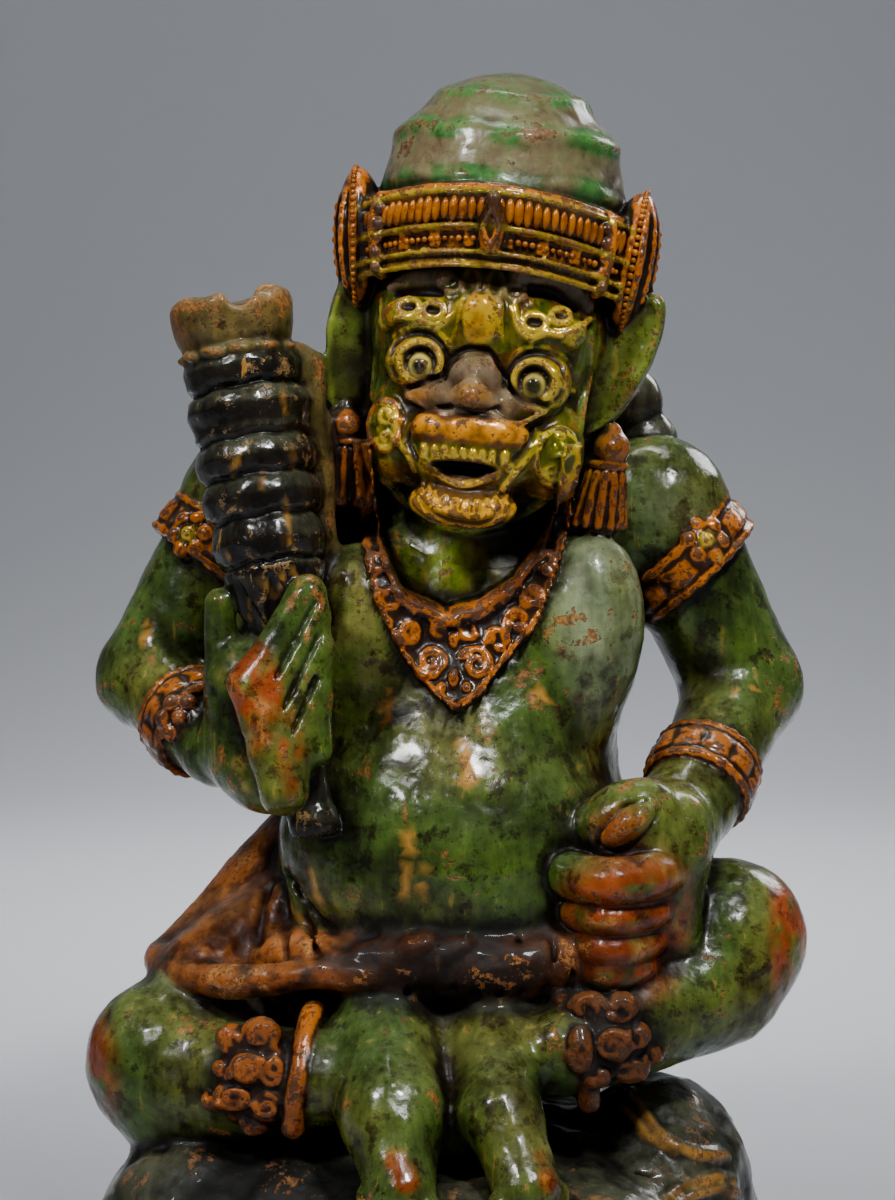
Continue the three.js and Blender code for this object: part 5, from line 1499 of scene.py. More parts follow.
# %% The coat
class Coat:
    """What the brush leaves on every vertex of one mesh."""

    def __init__(self, points, shares):
        self.points = points
        for n, key in enumerate(COLOURS + AMOUNTS):
            setattr(self, key, shares @ np.array([PALETTE[p][n] for p in PAINTS]))

    def wash(self, share, first, second=None, **amounts):
        """Lays two tones over the old ones as far as the share says, and changes the amounts alike."""
        s = unit(share)
        self.first += (np.array(first) - self.first) * s[:, None]
        self.second += (np.array(first if second is None else second) - self.second) * s[:, None]
        for key, value in amounts.items():
            setattr(self, key, getattr(self, key) + (value - getattr(self, key)) * s)

    def near(self, centre, radii, fade=0.35):
        """1 well inside an egg round the centre, 0 outside it."""
        d = np.linalg.norm((self.points - np.asarray(centre)) / (np.asarray(radii) * SCALE), axis=1)
        return unit((1 - d) / fade)

    def patches(self, grain, seed, gain, less, stretch=1):
        """Patches of noise, none to full."""
        return unit(noise_at(self.points * stretch, grain, seed) * gain - less)

    def along(self, line, width, fade=0.5):
        """1 on a brush stroke along the line, 0 beside it."""
        best = np.full(len(self.points), AIR)
        low, high = box_of(line, width)
        held = np.all((self.points > low) & (self.points < high), axis=1)
        p = self.points[held]
        nearest = np.full(len(p), AIR)
        for a, b in zip(line, line[1:]):
            ab = b - a
            t = unit((p - a) @ ab / max(ab @ ab, NEAR))
            nearest = np.minimum(nearest, np.linalg.norm(p - a - t[:, None] * ab, axis=1))
        best[held] = nearest
        return unit((1 - best / width) / fade)


print("the coat reads", len(COLOURS) + len(AMOUNTS), "values for each paint")

# %% Where the paint is rubbed, dusty or dull, and where shade and sheen are painted
WORN = [  # middle, half sizes, strength
    (at(-61, -74, 139), (11.5, 16, 20), 2.6),
    (at(-48, -80, 122), (5, 12, 16), 1.2),
    (at(58, -72, 66), (30, 26, 28), 2),
    (at(52, -70, 96), (13, 14, 12), 0.8),
    (at(-113, -40, 14), (15, 28, 22), 1.2),
    (at(113, -30, 54), (14, 36, 34), 2.4),
    (at(-14, -114, -16), (10, 12, 9), 1.5),
    (at(26, -114, -16), (10, 12, 9), 1.2),
]
SHADED = [  # likewise
    (at(0, -70, 54), (58, 34, 21), 1.2),
    (at(6, -72, 52), (54, 26, 17), 1),
    (at(50, -66, 30), (24, 30, 24), 1.1),
    (at(-61, -70, 22), (20, 26, 26), 0.7),
    (at(-58, -80, -16), (36, 44, 17), 1.4),
    (at(0, -60, -50), (120, 90, 36), 0.7),
    (at(-72, -70, -42), (48, 56, 26), 1.3),
    (at(20, -40, -4), (46, 60, 18), 0.8),
]
# Pale dust and a painted sheen on the left of the chest and the shoulder, green-grey under the varnish
DUST_AND_SHEEN = [  # middle, half sizes, strength
    (at(47, -34, 168), (20, 26, 42), 2.2), (at(52, -30, 140), (14, 22, 22), 0.9),
    (at(2, -40, 118), (22, 24, 18), 0.5), (at(-80, -30, 46), (26, 40, 9), 0.8),
    (at(70, -8, 190), (22, 22, 14), 0.6),
]
CLUB_DRIPS = (  # ochre on the club, half width first
    (0.8, (-51.5, 233.9), (-51.3, 225.1)), (1, (-48.2, 216.4), (-48.2, 207)),
    (1, (-50.1, 196.5), (-49.4, 184.2)), (0.9, (-69.3, 185.5), (-68.6, 180.6)),
    (0.9, (-58.8, 175.6), (-53.3, 167.7), (-49.5, 178), (-44.5, 171.1)),
    (0.8, (-57.7, 207.3), (-57.4, 201.4)), (0.7, (-64.4, 212.1), (-66.9, 205)),
    (0.8, (-62, 168), (-61.5, 160)),
)
DULL_AND_SHADED = [  # gilding darkened, dull paint and painted shade: middle, half sizes, tones
    (at(-61, -78, 20), (22, 22, 28), (0.026, 0.009, 0.004), (0.25, 0.068, 0.009)),
    (at(51, -78, 32), (22, 22, 24), (0.012, 0.005, 0.003), (0.11, 0.034, 0.007)),
    (at(3, -36, 186), (44, 34, 30), (0.02, 0.008, 0.005), (0.2, 0.056, 0.01)),
    (at(2, -50, 148), (30, 24, 22), (0.022, 0.008, 0.004), (0.38, 0.105, 0.005)),
    (at(-78, -36, 112), (34, 40, 26), (0.026, 0.009, 0.004), (0.28, 0.075, 0.01)),
    (at(78, -36, 108), (30, 34, 26), (0.03, 0.011, 0.004), (0.34, 0.1, 0.012)),
]
TOES = ((-12, -1.5, 5.5), (-16, 3, 4), (31, -2.5, 5.5), (28, 4, 3.5))
# Drips of ochre varnish and dark spots on the front, by distance to the figure's left and height
DRIPS = [  # half width, then places
    (1.7, (-11.2, 89.8), (-12.1, 82.9), (-13.1, 74.1)), (1.8, (-12.1, 97.1), (-13.4, 92.8), (-11.2, 89.8)),
    (1.5, (-8.1, 83.7), (-8.1, 76.8)), (2.1, (5, 121), (6.6, 115.3), (6.2, 109.4)),
    (1.6, (27.6, 136.5), (31, 133.6)), (1.4, (-18.3, 138.8), (-19, 127.1)),
    (1.2, (11.3, 132.5), (11.3, 126.8)), (1.1, (-7, 183.7), (-7, 169.3)), (1.1, (-16.4, 185.1), (-16.3, 177)),
    (1, (-1.9, 180.7), (-1.9, 173.9)), (1.8, (-42.4, 80.4), (-40.8, 71)), (2, (95.5, 143), (94.1, 132.2)),
    (1.6, (102.9, 141.2), (100, 133)), (1.5, (-50, 66), (-44, 60)), (1.7, (88.9, 176), (88, 168)),
    (1.8, (-97, 155), (-99, 148)),
]
SPOTS = [(50.4, 131.5, 2.6), (45.3, 146.8, 2.4), (35.5, 130.3, 2.2), (41.6, 132.6, 3.2), (35.8, 148.7, 2.8),
         (53.4, 145.8, 1.8), (46.2, 127.6, 3.4), (30, 142, 1.6), (52, 139, 1.5)]


print(len(WORN), "rubbed places,", len(DRIPS) + len(CLUB_DRIPS), "drips and", len(SPOTS), "spots")

# %% Strokes on the front of the figure
def front_of(x, z, start=-84):
    """The front of the figure at a distance to its left and a height."""
    for name in ("body", "head"):
        found = on_skin(blocks[name], at(x, start, z), BACK)
        if found is not None:
            return found
    return at(x, -30, z)


def traced(line, gap=1.6):
    """A line of places on the front of the figure, every gap millimetres of it laid on the wood."""
    dense = []
    for (x, z), (next_x, next_z) in zip(line, line[1:]):
        count = max(2, int(math.hypot(next_x - x, next_z - z) / gap))
        dense += [front_of(x + (next_x - x) * t, z + (next_z - z) * t) for t in np.linspace(0, 1, count)]
    return dense


def blot(x, z, middle_x, middle_z, wide, tall):
    """1 at the middle of a soft oval blot, fading outwards."""
    return np.exp(-((x - middle_x) / wide) ** 2 - ((z - middle_z) / tall) ** 2)


def head_places(points):
    """Points in the head's own frame, in drawn millimetres."""
    return (points - HEAD_CENTRE) @ HEAD_TURN / SCALE


print("strokes ready")

# %% Rubbed places, painted shade, dust and sheen
def paint_rubbed_and_shaded(coat, skin, patchy):
    """Paint rubbed to its red ground, painted shade, drips on the club, pale dust and a painted sheen."""
    olive = np.clip(noise_at(coat.points, 26, 23) * 0.9 + 0.15, 0, 0.8)
    coat.wash(olive * skin, (0.045, 0.036, 0.006), (0.165, 0.16, 0.02))
    for centre, radii, strength in WORN:
        rubbed = unit(coat.near(centre, radii, 0.6) * strength) * unit(patchy * 1.7)
        coat.wash(rubbed * skin, RED * 0.45, RED, wear=0.2, dust=0.2)
    # Painted shade: each of these places is darkened to a fifth of its tones.
    for centre, radii, strength in SHADED:
        share = coat.near(centre, radii, 0.6) * strength
        coat.wash(share, coat.first * 0.2, coat.second * 0.2, dust=0, wear=0.05, rough=0.6)
    for width, *line in CLUB_DRIPS:
        coat.wash(coat.along(traced(line), width, 0.4) * (0.35 + patchy), OCHRE * 0.4, OCHRE * 0.8)
    # Dust and a painted sheen: a lighter green-grey on the left of the chest and the shoulder.
    for centre, radii, strength in DUST_AND_SHEEN:
        dust = coat.near(centre, radii, 0.8) * strength * (0.75 + 0.6 * noise_at(coat.points, 9, 24)) * skin
        coat.wash(dust * 0.75, (0.11, 0.14, 0.07), (0.27, 0.315, 0.17), grime=0.3, dust=0.7)


def paint_gilding_and_hems(coat, shares, patchy):
    gold = unit((shares[:, GILT] + shares[:, PEARL]) * 1.5)
    # Darker gilding: its own dull paint, and painted shade on the leaves of the left shin.
    for centre, radii, first, second in DULL_AND_SHADED:
        coat.wash(coat.near(centre, radii, 0.3) * gold * 1.5, first, second, relief=1, grime=1, metal=0.1)
    cloth = shares[:, CLOTH]
    # The cloth on the right thigh is painted lighter and redder: its own colour, and painted light where the
    # thigh lies in shade.
    coat.wash(coat.near(at(-72, -24, 58), (34, 44, 26), 0.6) * cloth, (0.11, 0.03, 0.008),
              (0.48, 0.145, 0.022))
    broken = unit(noise_at(coat.points, 5, 26) * 2.4 + noise_at(coat.points, 2, 27))
    hem = coat.along([at(*p) for p in RIGHT_HEM[1:-1]], 10, 0.4) * cloth
    coat.wash(hem * 0.7, (0.06, 0.016, 0.004), (0.24, 0.064, 0.009))
    coat.wash(hem * broken, DARK, (0.07, 0.02, 0.006))
    for line in FOLDS:
        coat.wash(coat.along([front_of(x, z) for x, z in line], 1.9, 0.5) * patchy * 1.4, OCHRE * 0.35,
                  OCHRE * 0.8, wear=0.1)


print(len(DULL_AND_SHADED), "dull places in the gilding")

# %% Drips, spots, tanned hands, and painted light on the neck and beside the club
def paint_marks(coat, shares, skin, patchy):
    for x, z, radius in TOES:
        coat.wash(coat.near(front_of(x, z, -124), (radius,) * 3, 0.5) * (patchy + 0.2), RED * 0.5,
                  (0.42, 0.13, 0.012))
    for width, *line in DRIPS:
        coat.wash(coat.along([front_of(x, z) for x, z in line], width, 0.5) * 1.2, OCHRE * 0.8, OCHRE, wear=0,
                  grime=0.2)
    # The neck is painted a brighter green: its own green, and painted light under the shadow of the chin.
    neck = coat.near(at(2, -34, 178), (24, 22, 24), 0.6) * skin
    coat.wash(neck, (0.09, 0.13, 0.008), (0.3, 0.43, 0.018), dust=0, grime=0.6)
    fall = coat.patches(1.8, 25, 3, 0.6, [1, 1, 0.12])
    coat.wash(fall * neck * 0.8, (0.26, 0.22, 0.02), (0.42, 0.34, 0.04), wear=0, grime=0)
    for x, z, radius in SPOTS:
        spot = coat.near(front_of(x, z), (radius,) * 3, 0.4) * (patchy + 0.3)
        coat.wash(spot, DARK, (0.075, 0.026, 0.01), dust=0.1)
    tip = P["pommel"] + frame_about(P["club_aim"] - P["pommel"], BACK)[0] * CLUB_LENGTH
    bare = shares[:, BARE]
    coat.wash(coat.near(tip, (26, 26, 9), 0.5) * bare * patchy, (0.09, 0.034, 0.006), (0.36, 0.135, 0.012))
    coat.wash(coat.near(tip - [14, 0, 8], (12, 26, 20), 0.6) * bare * patchy * 0.8, (0.08, 0.03, 0.005),
              (0.26, 0.086, 0.008))
    hands = coat.near(at(60, -60, 72), (20, 20, 26), 0.4) + coat.near(at(-58, -60, 128), (18, 22, 34), 0.4)
    tan = coat.patches(4.5, 28, 2.6, 0.6) * (hands * skin)
    coat.wash(tan * 0.8, (0.2, 0.15, 0.03), (0.48, 0.37, 0.09), wear=0.1)
    # Beside the club the chest is painted a lighter olive: its own tone, and painted light in the club's
    # shadow.
    beside = coat.near(at(-30, -38, 158), (20, 24, 34), 0.7) * skin * unit(patchy)
    coat.wash(beside * 0.8, (0.1, 0.09, 0.02), (0.29, 0.28, 0.06))


# Wear, dust and drips, with painted shade and painted light.
def paint_wear_light_and_shade(coat, shares):
    patchy = 0.64 + 0.8 * noise_at(coat.points, 7, 21) + 0.5 * noise_at(coat.points, 2.4, 22)
    skin = unit(shares[:, SKIN] * 1.5)
    paint_rubbed_and_shaded(coat, skin, patchy)
    paint_gilding_and_hems(coat, shares, patchy)
    paint_marks(coat, shares, skin, patchy)


print(len(TOES), "rubbed toes")

# %% Paint of the face
def paint_face(coat, shares):
    x, y, z = head_places(coat.points).T
    front = y < -6
    fresh = coat.patches(6, 34, 2.6, 0.5) * front * shares[:, LEAF]
    coat.wash(fresh * 0.8, (0.045, 0.075, 0.005), (0.17, 0.33, 0.012))
    margin = unit((np.abs(x + 0.5) - 29) / 3) * front * (z < 30) * (shares[:, SKIN] + shares[:, LEAF])
    coat.wash(margin, FIRST[SKIN] * 2, SECOND[SKIN] * 2.2, metal=0, relief=0.3)
    under_eye = sum(blot(x, z, ex, ez - 10, 6, 3.2) for ex, ez, _ in EYES) * front
    coat.wash(under_eye * 0.8, (0.13, 0.06, 0.01), (0.45, 0.17, 0.012))
    over_eye = sum(blot(x, z, ex * 1.1, ez + 11.5, 9, 2.6) for ex, ez, _ in EYES) * front
    coat.wash(over_eye * 0.6, FIRST[SKIN] * 1.4, SECOND[SKIN] * 1.4)
    for ex, ez, _ in EYES:
        off = np.hypot(x - ex, z - ez + 0.9)
        iris = unit((0.7 - np.abs(off - 3.1)) / 0.4) * (y < -38)
        coat.wash(iris, (0.35, 0.27, 0.06), (0.6, 0.47, 0.09), wear=0)
        coat.wash(unit((2.3 - off) / 0.5) * (y < -38), DARK, wear=0, rough=0.08)
    lines = coat.patches(2.4, 32, 3, 0.45, [1, 1, 0.3]) * front * (z < 30)
    coat.wash(lines * (shares[:, LEAF] + shares[:, SKIN]) * 0.75, (0.026, 0.024, 0.004), (0.1, 0.062, 0.007))
    gold = shares[:, LEAF] + shares[:, PEARL] * 0.5 + shares[:, GILT] + shares[:, MOUTH] * 0.3
    chin = unit(1.4 - np.abs(z + 38) / 9) * front * gold * (np.abs(x) < 24)
    coat.wash(chin, (0.12, 0.05, 0.004), (0.7, 0.33, 0.008), grime=0.7, wear=0.2)
    cheek = blot(x, z, 26, -16, 9, 12) * front
    coat.wash(cheek * 0.9, (0.11, 0.13, 0.008), (0.56, 0.52, 0.02), grime=0.3)
    rosy = coat.patches(4.5, 33, 2.8, 0.2) * front
    coat.wash(rosy * shares[:, LEAF] * 0.7, (0.14, 0.05, 0.004), (0.5, 0.21, 0.006))
    ears = (np.abs(x) > 33) * (z > -20) * (z < 34) * shares[:, SKIN]
    coat.wash(ears * 0.8, (0.05, 0.055, 0.008), (0.15, 0.19, 0.022), dust=0.1)
    tip = blot(x, z, -0.4, -2.6, 5.5, 3.4) * (y < -44)
    coat.wash(tip, (0.16, 0.06, 0.006), (0.44, 0.185, 0.008))
    streaks = noise_at(coat.points * [1, 1, 0.25], 1.6, 31)
    muzzle = unit((18.5 - np.abs(x)) / 2) * unit((-9.5 - z) / 1.2) * unit((z + 19) / 1.5)
    coat.wash(muzzle * (y < -34), (0.16, 0.05, 0.004), (0.7, 0.265, 0.003), wear=0.25, grime=0.2)
    coat.wash(muzzle * (y < -34) * unit(streaks * 2.4) * 0.8, (0.07, 0.025, 0.004), (0.17, 0.065, 0.005))
    brow = blot(x, z, -0.4, 20, 3.4, 8) * (y < -30) * (0.75 + streaks)
    coat.wash(blot(x, z, -0.4, 21, 9, 8) * (y < -30), FIRST[LEAF], SECOND[LEAF] * 0.8)
    coat.wash(brow * 0.8, (0.13, 0.055, 0.005), (0.42, 0.175, 0.005))


print("face paint ready")

# %% Paint of the pendants, cap and diadem
def paint_pendants(coat, shares):
    """The pendants under the ears are painted dark: painted shade where they hang, and little gold kept."""
    x, _, z = head_places(coat.points).T
    hung = unit(shares[:, GILT] * 1.4) * (np.abs(x) > 30) * (np.abs(x) < 60) * (z < 16) * (z > -64)
    coat.wash(hung, (0.026, 0.01, 0.005), (0.26, 0.075, 0.008), relief=1, grime=1, wear=0.1, metal=0.1)


def paint_cap(coat, shares):
    p = (coat.points - HEAD_CENTRE) @ HEAD_TURN
    wave = fold_wave(*p.T)
    on_cap = shares[:, CAP]
    ridge = unit((wave + 0.25) / 0.6) * on_cap
    broken = 0.6 + 1.1 * noise_at(coat.points, 9, 41) + 0.6 * noise_at(coat.points, 3.5, 42)
    # The cap is painted a lighter tan towards its foot: its own tan, and painted light where the diadem
    # shades it.
    coat.wash(on_cap * unit((90 - p[:, 2]) / 14) * 0.45, (0.2, 0.15, 0.08), (0.28, 0.25, 0.12))
    coat.wash(ridge * broken * 1.25, CAP_GREEN * 0.5, CAP_GREEN * 1.1, wear=0.22, dust=0.1)


def paint_diadem(coat, shares):
    x, _, z = head_places(coat.points).T
    level = z + DIADEM_DIP * (x / HEAD_HALF) ** 2
    on = (shares[:, GILT] + shares[:, PEARL]) * (np.abs(x) < 45) * (level > 35) * (level < 63)
    coat.wash(on * (level > 49.5) * (level < 59), (0.02, 0.009, 0.004), (0.15, 0.052, 0.008), relief=0)
    flares = shares[:, GILT] * (np.abs(x) > 37.5) * (level > 22)
    coat.wash(flares, (0.022, 0.01, 0.004), (0.46, 0.13, 0.006), relief=1, grime=0.8, wear=0.15)
    for height in LINES:
        line = unit(1 - np.abs(level - height) / 1.3) * on * 1.5
        coat.wash(line, (0.05, 0.035, 0.006), (0.52, 0.35, 0.02), relief=0.25, metal=0.3)
    olive = unit(1 - np.abs(level - 39) / 1.6) * on
    coat.wash(olive, (0.05, 0.036, 0.01), (0.2, 0.13, 0.02))
    row = unit(1 - np.abs(level - 45) / 3.4) * on
    coat.wash(row * 0.8, (0.04, 0.016, 0.005), (0.34, 0.12, 0.01))


print("lines of the diadem at", *LINES)

# %% Paint the three pieces
def write_coat(mesh, coat, edge, groove, hollow):
    """Leaves the coat on the mesh as attributes that the material reads."""
    normals = np.empty(len(mesh.vertices) * 3, np.float32)
    mesh.vertices.foreach_get("normal", normals)
    coat.dust = coat.dust * unit(normals.reshape(-1, 3)[:, 2] * 1.3 - 0.1)
    coat.edge, coat.groove, coat.hollow = edge, groove, hollow
    for key in COLOURS:
        value = np.hstack([getattr(coat, key), np.ones((len(coat.points), 1))]).astype(np.float32)
        mesh.color_attributes.new(key, "FLOAT_COLOR", "POINT").data.foreach_set("color", value.ravel())
    for key in (*AMOUNTS, "edge", "groove", "hollow"):
        value = getattr(coat, key).astype(np.float32)
        mesh.attributes.new(key, "FLOAT", "POINT").data.foreach_set("value", value)


for block in blocks.values():
    block.grid = block.whole
for name, obj in carved.items():
    block, points = blocks[name], points_of(obj.data) - TO_FRAME
    shares = paint_shares(block, points)
    coat = Coat(points, shares)
    paint_wear_light_and_shade(coat, shares)
    if name != "base":
        paint_pendants(coat, shares)
    if name == "head":
        paint_face(coat, shares)
        paint_cap(coat, shares)
        paint_diadem(coat, shares)
    fine, broad = bend_at(block, points, 1.6), bend_at(block, points, 6.0)
    write_coat(obj.data, coat, unit(fine * 3), unit(-fine * 3.2), unit(-broad * 2.6))
    print(name, "painted: bend", np.percentile(fine, [2, 50, 98]).round(2),
          np.percentile(broad, [2, 50, 98]).round(2))

# %% [markdown]
# ## Rows of beads
#
# The diadem carries a row of tall beads, and its side leaves are edged with small round ones. The
# carver cuts such a row by eye, so the beads differ a little in size. Geometry Nodes sets them along an
# oval: one tree serves every row, and the modifier's inputs give the oval, the bead and the count.
# Each row is baked to a plain mesh, turned into the head's frame and painted like the carving.

# %% Bead rows
def bead_row_tree():
    tree = bpy.data.node_groups.new("bead_row", "GeometryNodeTree")
    for name, kind in (("Beads", "Int"), ("Oval", "Vector"), ("Bead", "Vector"), ("Play", "Float"),
                       ("Seed", "Int"), ("Paint", "Material")):
        tree.interface.new_socket(name, in_out="INPUT", socket_type="NodeSocket" + kind)
    tree.interface.new_socket("Geometry", in_out="OUTPUT", socket_type="NodeSocketGeometry")
    t = Tree(tree)
    given = t.node("NodeGroupInput").outputs
    ring = t.node("GeometryNodeMeshCircle", Vertices=given["Beads"], Radius=1.0).outputs[0]
    place = t.node("GeometryNodeInputPosition").outputs[0]
    parts = t.node("ShaderNodeSeparateXYZ", Vector=place).outputs
    sizes = t.node("ShaderNodeSeparateXYZ", Vector=given["Oval"]).outputs
    x, y = Value(tree, parts[0]), Value(tree, parts[1])
    drop = x * x * Value(tree, sizes[2])
    moved = t.node("ShaderNodeCombineXYZ", X=x * Value(tree, sizes[0]), Y=y * Value(tree, sizes[1]),
                   Z=0.0 - drop)
    ring = t.node("GeometryNodeSetPosition", Geometry=ring, Position=moved.outputs[0]).outputs[0]
    facing = t.node("ShaderNodeVectorMath", {"operation": "NORMALIZE"},
                    i0=t.node("GeometryNodeInputPosition").outputs[0])
    turn = t.node("FunctionNodeAlignRotationToVector", {"axis": "X"}, Vector=facing.outputs[0]).outputs[0]
    play = Value(tree, given["Play"])
    chance = t.node("FunctionNodeRandomValue", {"data_type": "FLOAT"}, i2=1.0 - play, i3=1.0 + play,
                    Seed=given["Seed"])
    size = t.node("ShaderNodeVectorMath", {"operation": "SCALE"}, i0=given["Bead"],
                  Scale=Value(tree, chance.outputs[1]))
    bead = t.node("GeometryNodeMeshIcoSphere", Radius=1.0, Subdivisions=2).outputs[0]
    row = t.node("GeometryNodeInstanceOnPoints", Points=ring, Instance=bead, Rotation=turn,
                 Scale=size.outputs[0]).outputs[0]
    row = t.node("GeometryNodeRealizeInstances", Geometry=row).outputs[0]
    row = t.node("GeometryNodeSetMaterial", Geometry=row, Material=given["Paint"]).outputs[0]
    t.node("NodeGroupOutput", Geometry=row)
    return tree


def lay_row(name, tree, matrix, **inputs):
    """A baked row of beads, moved from its own plane by the matrix, in metres."""
    obj = link(name, bpy.data.meshes.new(name))
    rows = obj.modifiers.new("beads", "NODES")
    rows.node_group = tree
    for item in tree.interface.items_tree:
        if item.in_out == "INPUT":
            rows[item.identifier] = inputs[item.name]
    mesh = evaluated(obj, name)
    obj.modifiers.clear()
    mesh.transform(matrix)
    obj.data = mesh
    mesh.shade_smooth()
    return obj


print("rows of beads can be laid")

# %% [markdown]
# ## One material for all the paint
#
# The vertices say which paint lies where. The material adds what is finer than a vertex: patches,
# brush streaks, chips with a sharp rim, drips of ochre, dirt and painted shade in the grooves, edges
# lightened by rubbing and a painted highlight, and a varnish that is glossy on the heights. Maths on
# the shader's sockets is written as ordinary Python expressions.

# %% Writing shader maths as expressions
class Value:
    """A number socket that the usual operators work on."""

    def __init__(self, tree, socket):
        self.tree, self.socket = tree, socket

    def math(self, operation, *others, clamp=False):
        node = self.tree.nodes.new("ShaderNodeMath")
        node.operation, node.use_clamp = operation, clamp
        for slot, term in zip(node.inputs, others):
            if isinstance(term, Value):
                self.tree.links.new(term.socket, slot)
            else:
                slot.default_value = term
        return Value(self.tree, node.outputs[0])

    def __add__(self, other):
        return self.math("ADD", self, other)

    def __mul__(self, other):
        return self.math("MULTIPLY", self, other)

    def __sub__(self, other):
        return self.math("SUBTRACT", self, other)

    def __rsub__(self, other):
        return self.math("SUBTRACT", other, self)

    __radd__, __rmul__ = __add__, __mul__

    def clamp(self):
        return self.math("MULTIPLY", self, 1.0, clamp=True)

    def rise(self, low, high):
        """0 below low, 1 above high."""
        return self.math("MULTIPLY", self - low, 1 / (high - low), clamp=True)


class Tree:
    """A node tree with one method for all nodes."""

    def __init__(self, tree):
        self.tree = tree

    def node(self, kind, settings=None, **inputs):
        node = self.tree.nodes.new(kind)
        for key, value in (settings or {}).items():
            setattr(node, key, value)
        for key, value in inputs.items():
            numbered = key[0] == "i" and key[1:].isdigit()  # i3 is the fourth input
            slot = node.inputs[int(key[1:]) if numbered else key.replace("_", " ")]
            if isinstance(value, Value):
                self.tree.links.new(value.socket, slot)
            elif isinstance(value, bpy.types.NodeSocket):
                self.tree.links.new(value, slot)
            else:
                slot.default_value = value
        return node

    def number(self, name):
        return Value(self.tree, self.node("ShaderNodeAttribute", {"attribute_name": name}).outputs["Fac"])

    def colour(self, name):
        return self.node("ShaderNodeAttribute", {"attribute_name": name}).outputs["Color"]

    def mix(self, share, a, b, how="MIX"):
        settings = {"data_type": "RGBA", "blend_type": how}
        return self.node("ShaderNodeMix", settings, i0=share, i6=a, i7=b).outputs[2]

    def noise(self, where, scale, detail=3.0, roughness=0.55):
        node = self.node("ShaderNodeTexNoise", Vector=where, Scale=scale, Detail=detail, Roughness=roughness)
        return Value(self.tree, node.outputs["Fac"])


print("shader maths ready")

# %% Worn paint under varnish
def worn_paint():
    material = bpy.data.materials.new("worn_painted_wood")
    material.use_nodes = True
    material.node_tree.nodes.clear()
    t = Tree(material.node_tree)
    where = t.node("ShaderNodeTexCoord").outputs["Object"]
    tall = t.node("ShaderNodeMapping", {"vector_type": "POINT"}, Vector=where, Scale=(1, 1, 0.14)).outputs[0]
    broad, middle, fine = t.noise(where, 45, 6, 0.62), t.noise(where, 170, 5, 0.6), t.noise(where, 750, 3)
    streak, smudge = t.noise(tall, 330, 3), t.noise(where, 110, 5, 0.65)
    swell, ripple = t.noise(where, 95, 1.2, 0.45), t.noise(where, 260, 1, 0.4)
    speck = t.noise(where, 420, 4, 0.7)
    wear, grime, runs, relief, dust, metal = (t.number(key) for key in AMOUNTS if key != "rough")
    edge, groove, hollow = t.number("edge"), t.number("groove"), t.number("hollow")

    patches = (broad * 0.5 + middle * 0.25 + streak * 0.25).rise(0.42, 0.58)
    heights = (edge * 1.1 + middle * 0.9 - groove * 0.7).rise(0.52, 0.88)
    paint = t.mix(patches + (heights - patches) * relief, t.colour("first"), t.colour("second"))
    stain = (smudge * 0.8 + broad * 0.2 + hollow * 0.15).rise(0.55, 0.6) * grime
    paint = t.mix(stain * 0.8, paint, t.mix(1.0, paint, (0.26, 0.14, 0.1, 1), "MULTIPLY"))
    fleck = (speck * 0.85 + smudge * 0.3).rise(0.63, 0.68) * grime
    paint = t.mix(fleck * 0.7, paint, t.mix(1.0, paint, (0.42, 0.2, 0.12, 1), "MULTIPLY"))
    chip = (middle * 0.9 + fine * 0.45 + wear * 0.42 + edge * 0.22 - groove * 0.25).rise(0.95, 0.99)
    ground = t.mix(fine.rise(0.4, 0.65), t.colour("ground"), (0.05, 0.022, 0.01, 1))
    paint = t.mix(chip * 0.85, paint, ground)
    run = (streak * 0.8 + middle * 0.25).rise(0.655, 0.68) * runs * (1.0 - groove)
    paint = t.mix(run, paint, (*OCHRE, 1))
    # Edges painted lighter: rubbed paint and a painted highlight.
    rub_and_highlight = (edge * 0.75 + middle * 0.5 - 0.45).clamp() * 0.5
    paint = t.mix(rub_and_highlight, paint, t.mix(1.0, paint, (1.9, 1.75, 1.5, 1), "MULTIPLY"))
    # Grooves and hollows painted darker: dirt and painted shade.
    dirt_and_shade = (groove * 0.8 + hollow * 0.7).clamp()
    paint = t.mix(dirt_and_shade, paint, t.mix(1.0, paint, (0.18, 0.13, 0.09, 1), "MULTIPLY"))
    bloom = (broad * 0.7 + streak * 0.4).rise(0.44, 0.7) * dust * (1.0 - dirt_and_shade)
    paint = t.mix(bloom * 0.6, paint, (0.25, 0.29, 0.17, 1))

    rough = t.number("rough") + chip * 0.16 + (middle - 0.5) * 0.3 + dirt_and_shade * 0.18 + bloom * 0.12
    bump_height = swell * 1.6 + ripple * 0.32 + middle * 0.22 + fine * 0.05 - chip * 0.2 + run * 0.12
    bump = t.node("ShaderNodeBump", Strength=0.7, Distance=0.0015, Height=bump_height)
    shader = t.node("ShaderNodeBsdfPrincipled")
    links = material.node_tree.links
    links.new(paint, shader.inputs["Base Color"])
    links.new(rough.clamp().socket, shader.inputs["Roughness"])
    links.new((metal * (1.0 - chip) * (1.0 - dirt_and_shade)).socket, shader.inputs["Metallic"])
    gloss = (1.15 - t.number("rough") * 1.5).clamp()
    links.new(((1.0 - dirt_and_shade) * middle.rise(0.35, 0.6) * gloss).socket, shader.inputs["Coat Weight"])
    links.new(bump.outputs[0], shader.inputs["Normal"])
    shader.inputs["Coat Roughness"].default_value = 0.1
    shader.inputs["Coat IOR"].default_value = 1.36
    shader.inputs["Specular IOR Level"].default_value = 0.22
    output = t.node("ShaderNodeOutputMaterial")
    links.new(shader.outputs[0], output.inputs["Surface"])
    return material


painted_wood = worn_paint()
for obj in carved.values():
    obj.data.materials.clear()
    obj.data.materials.append(painted_wood)
print(len(painted_wood.node_tree.nodes), "nodes in the paint")

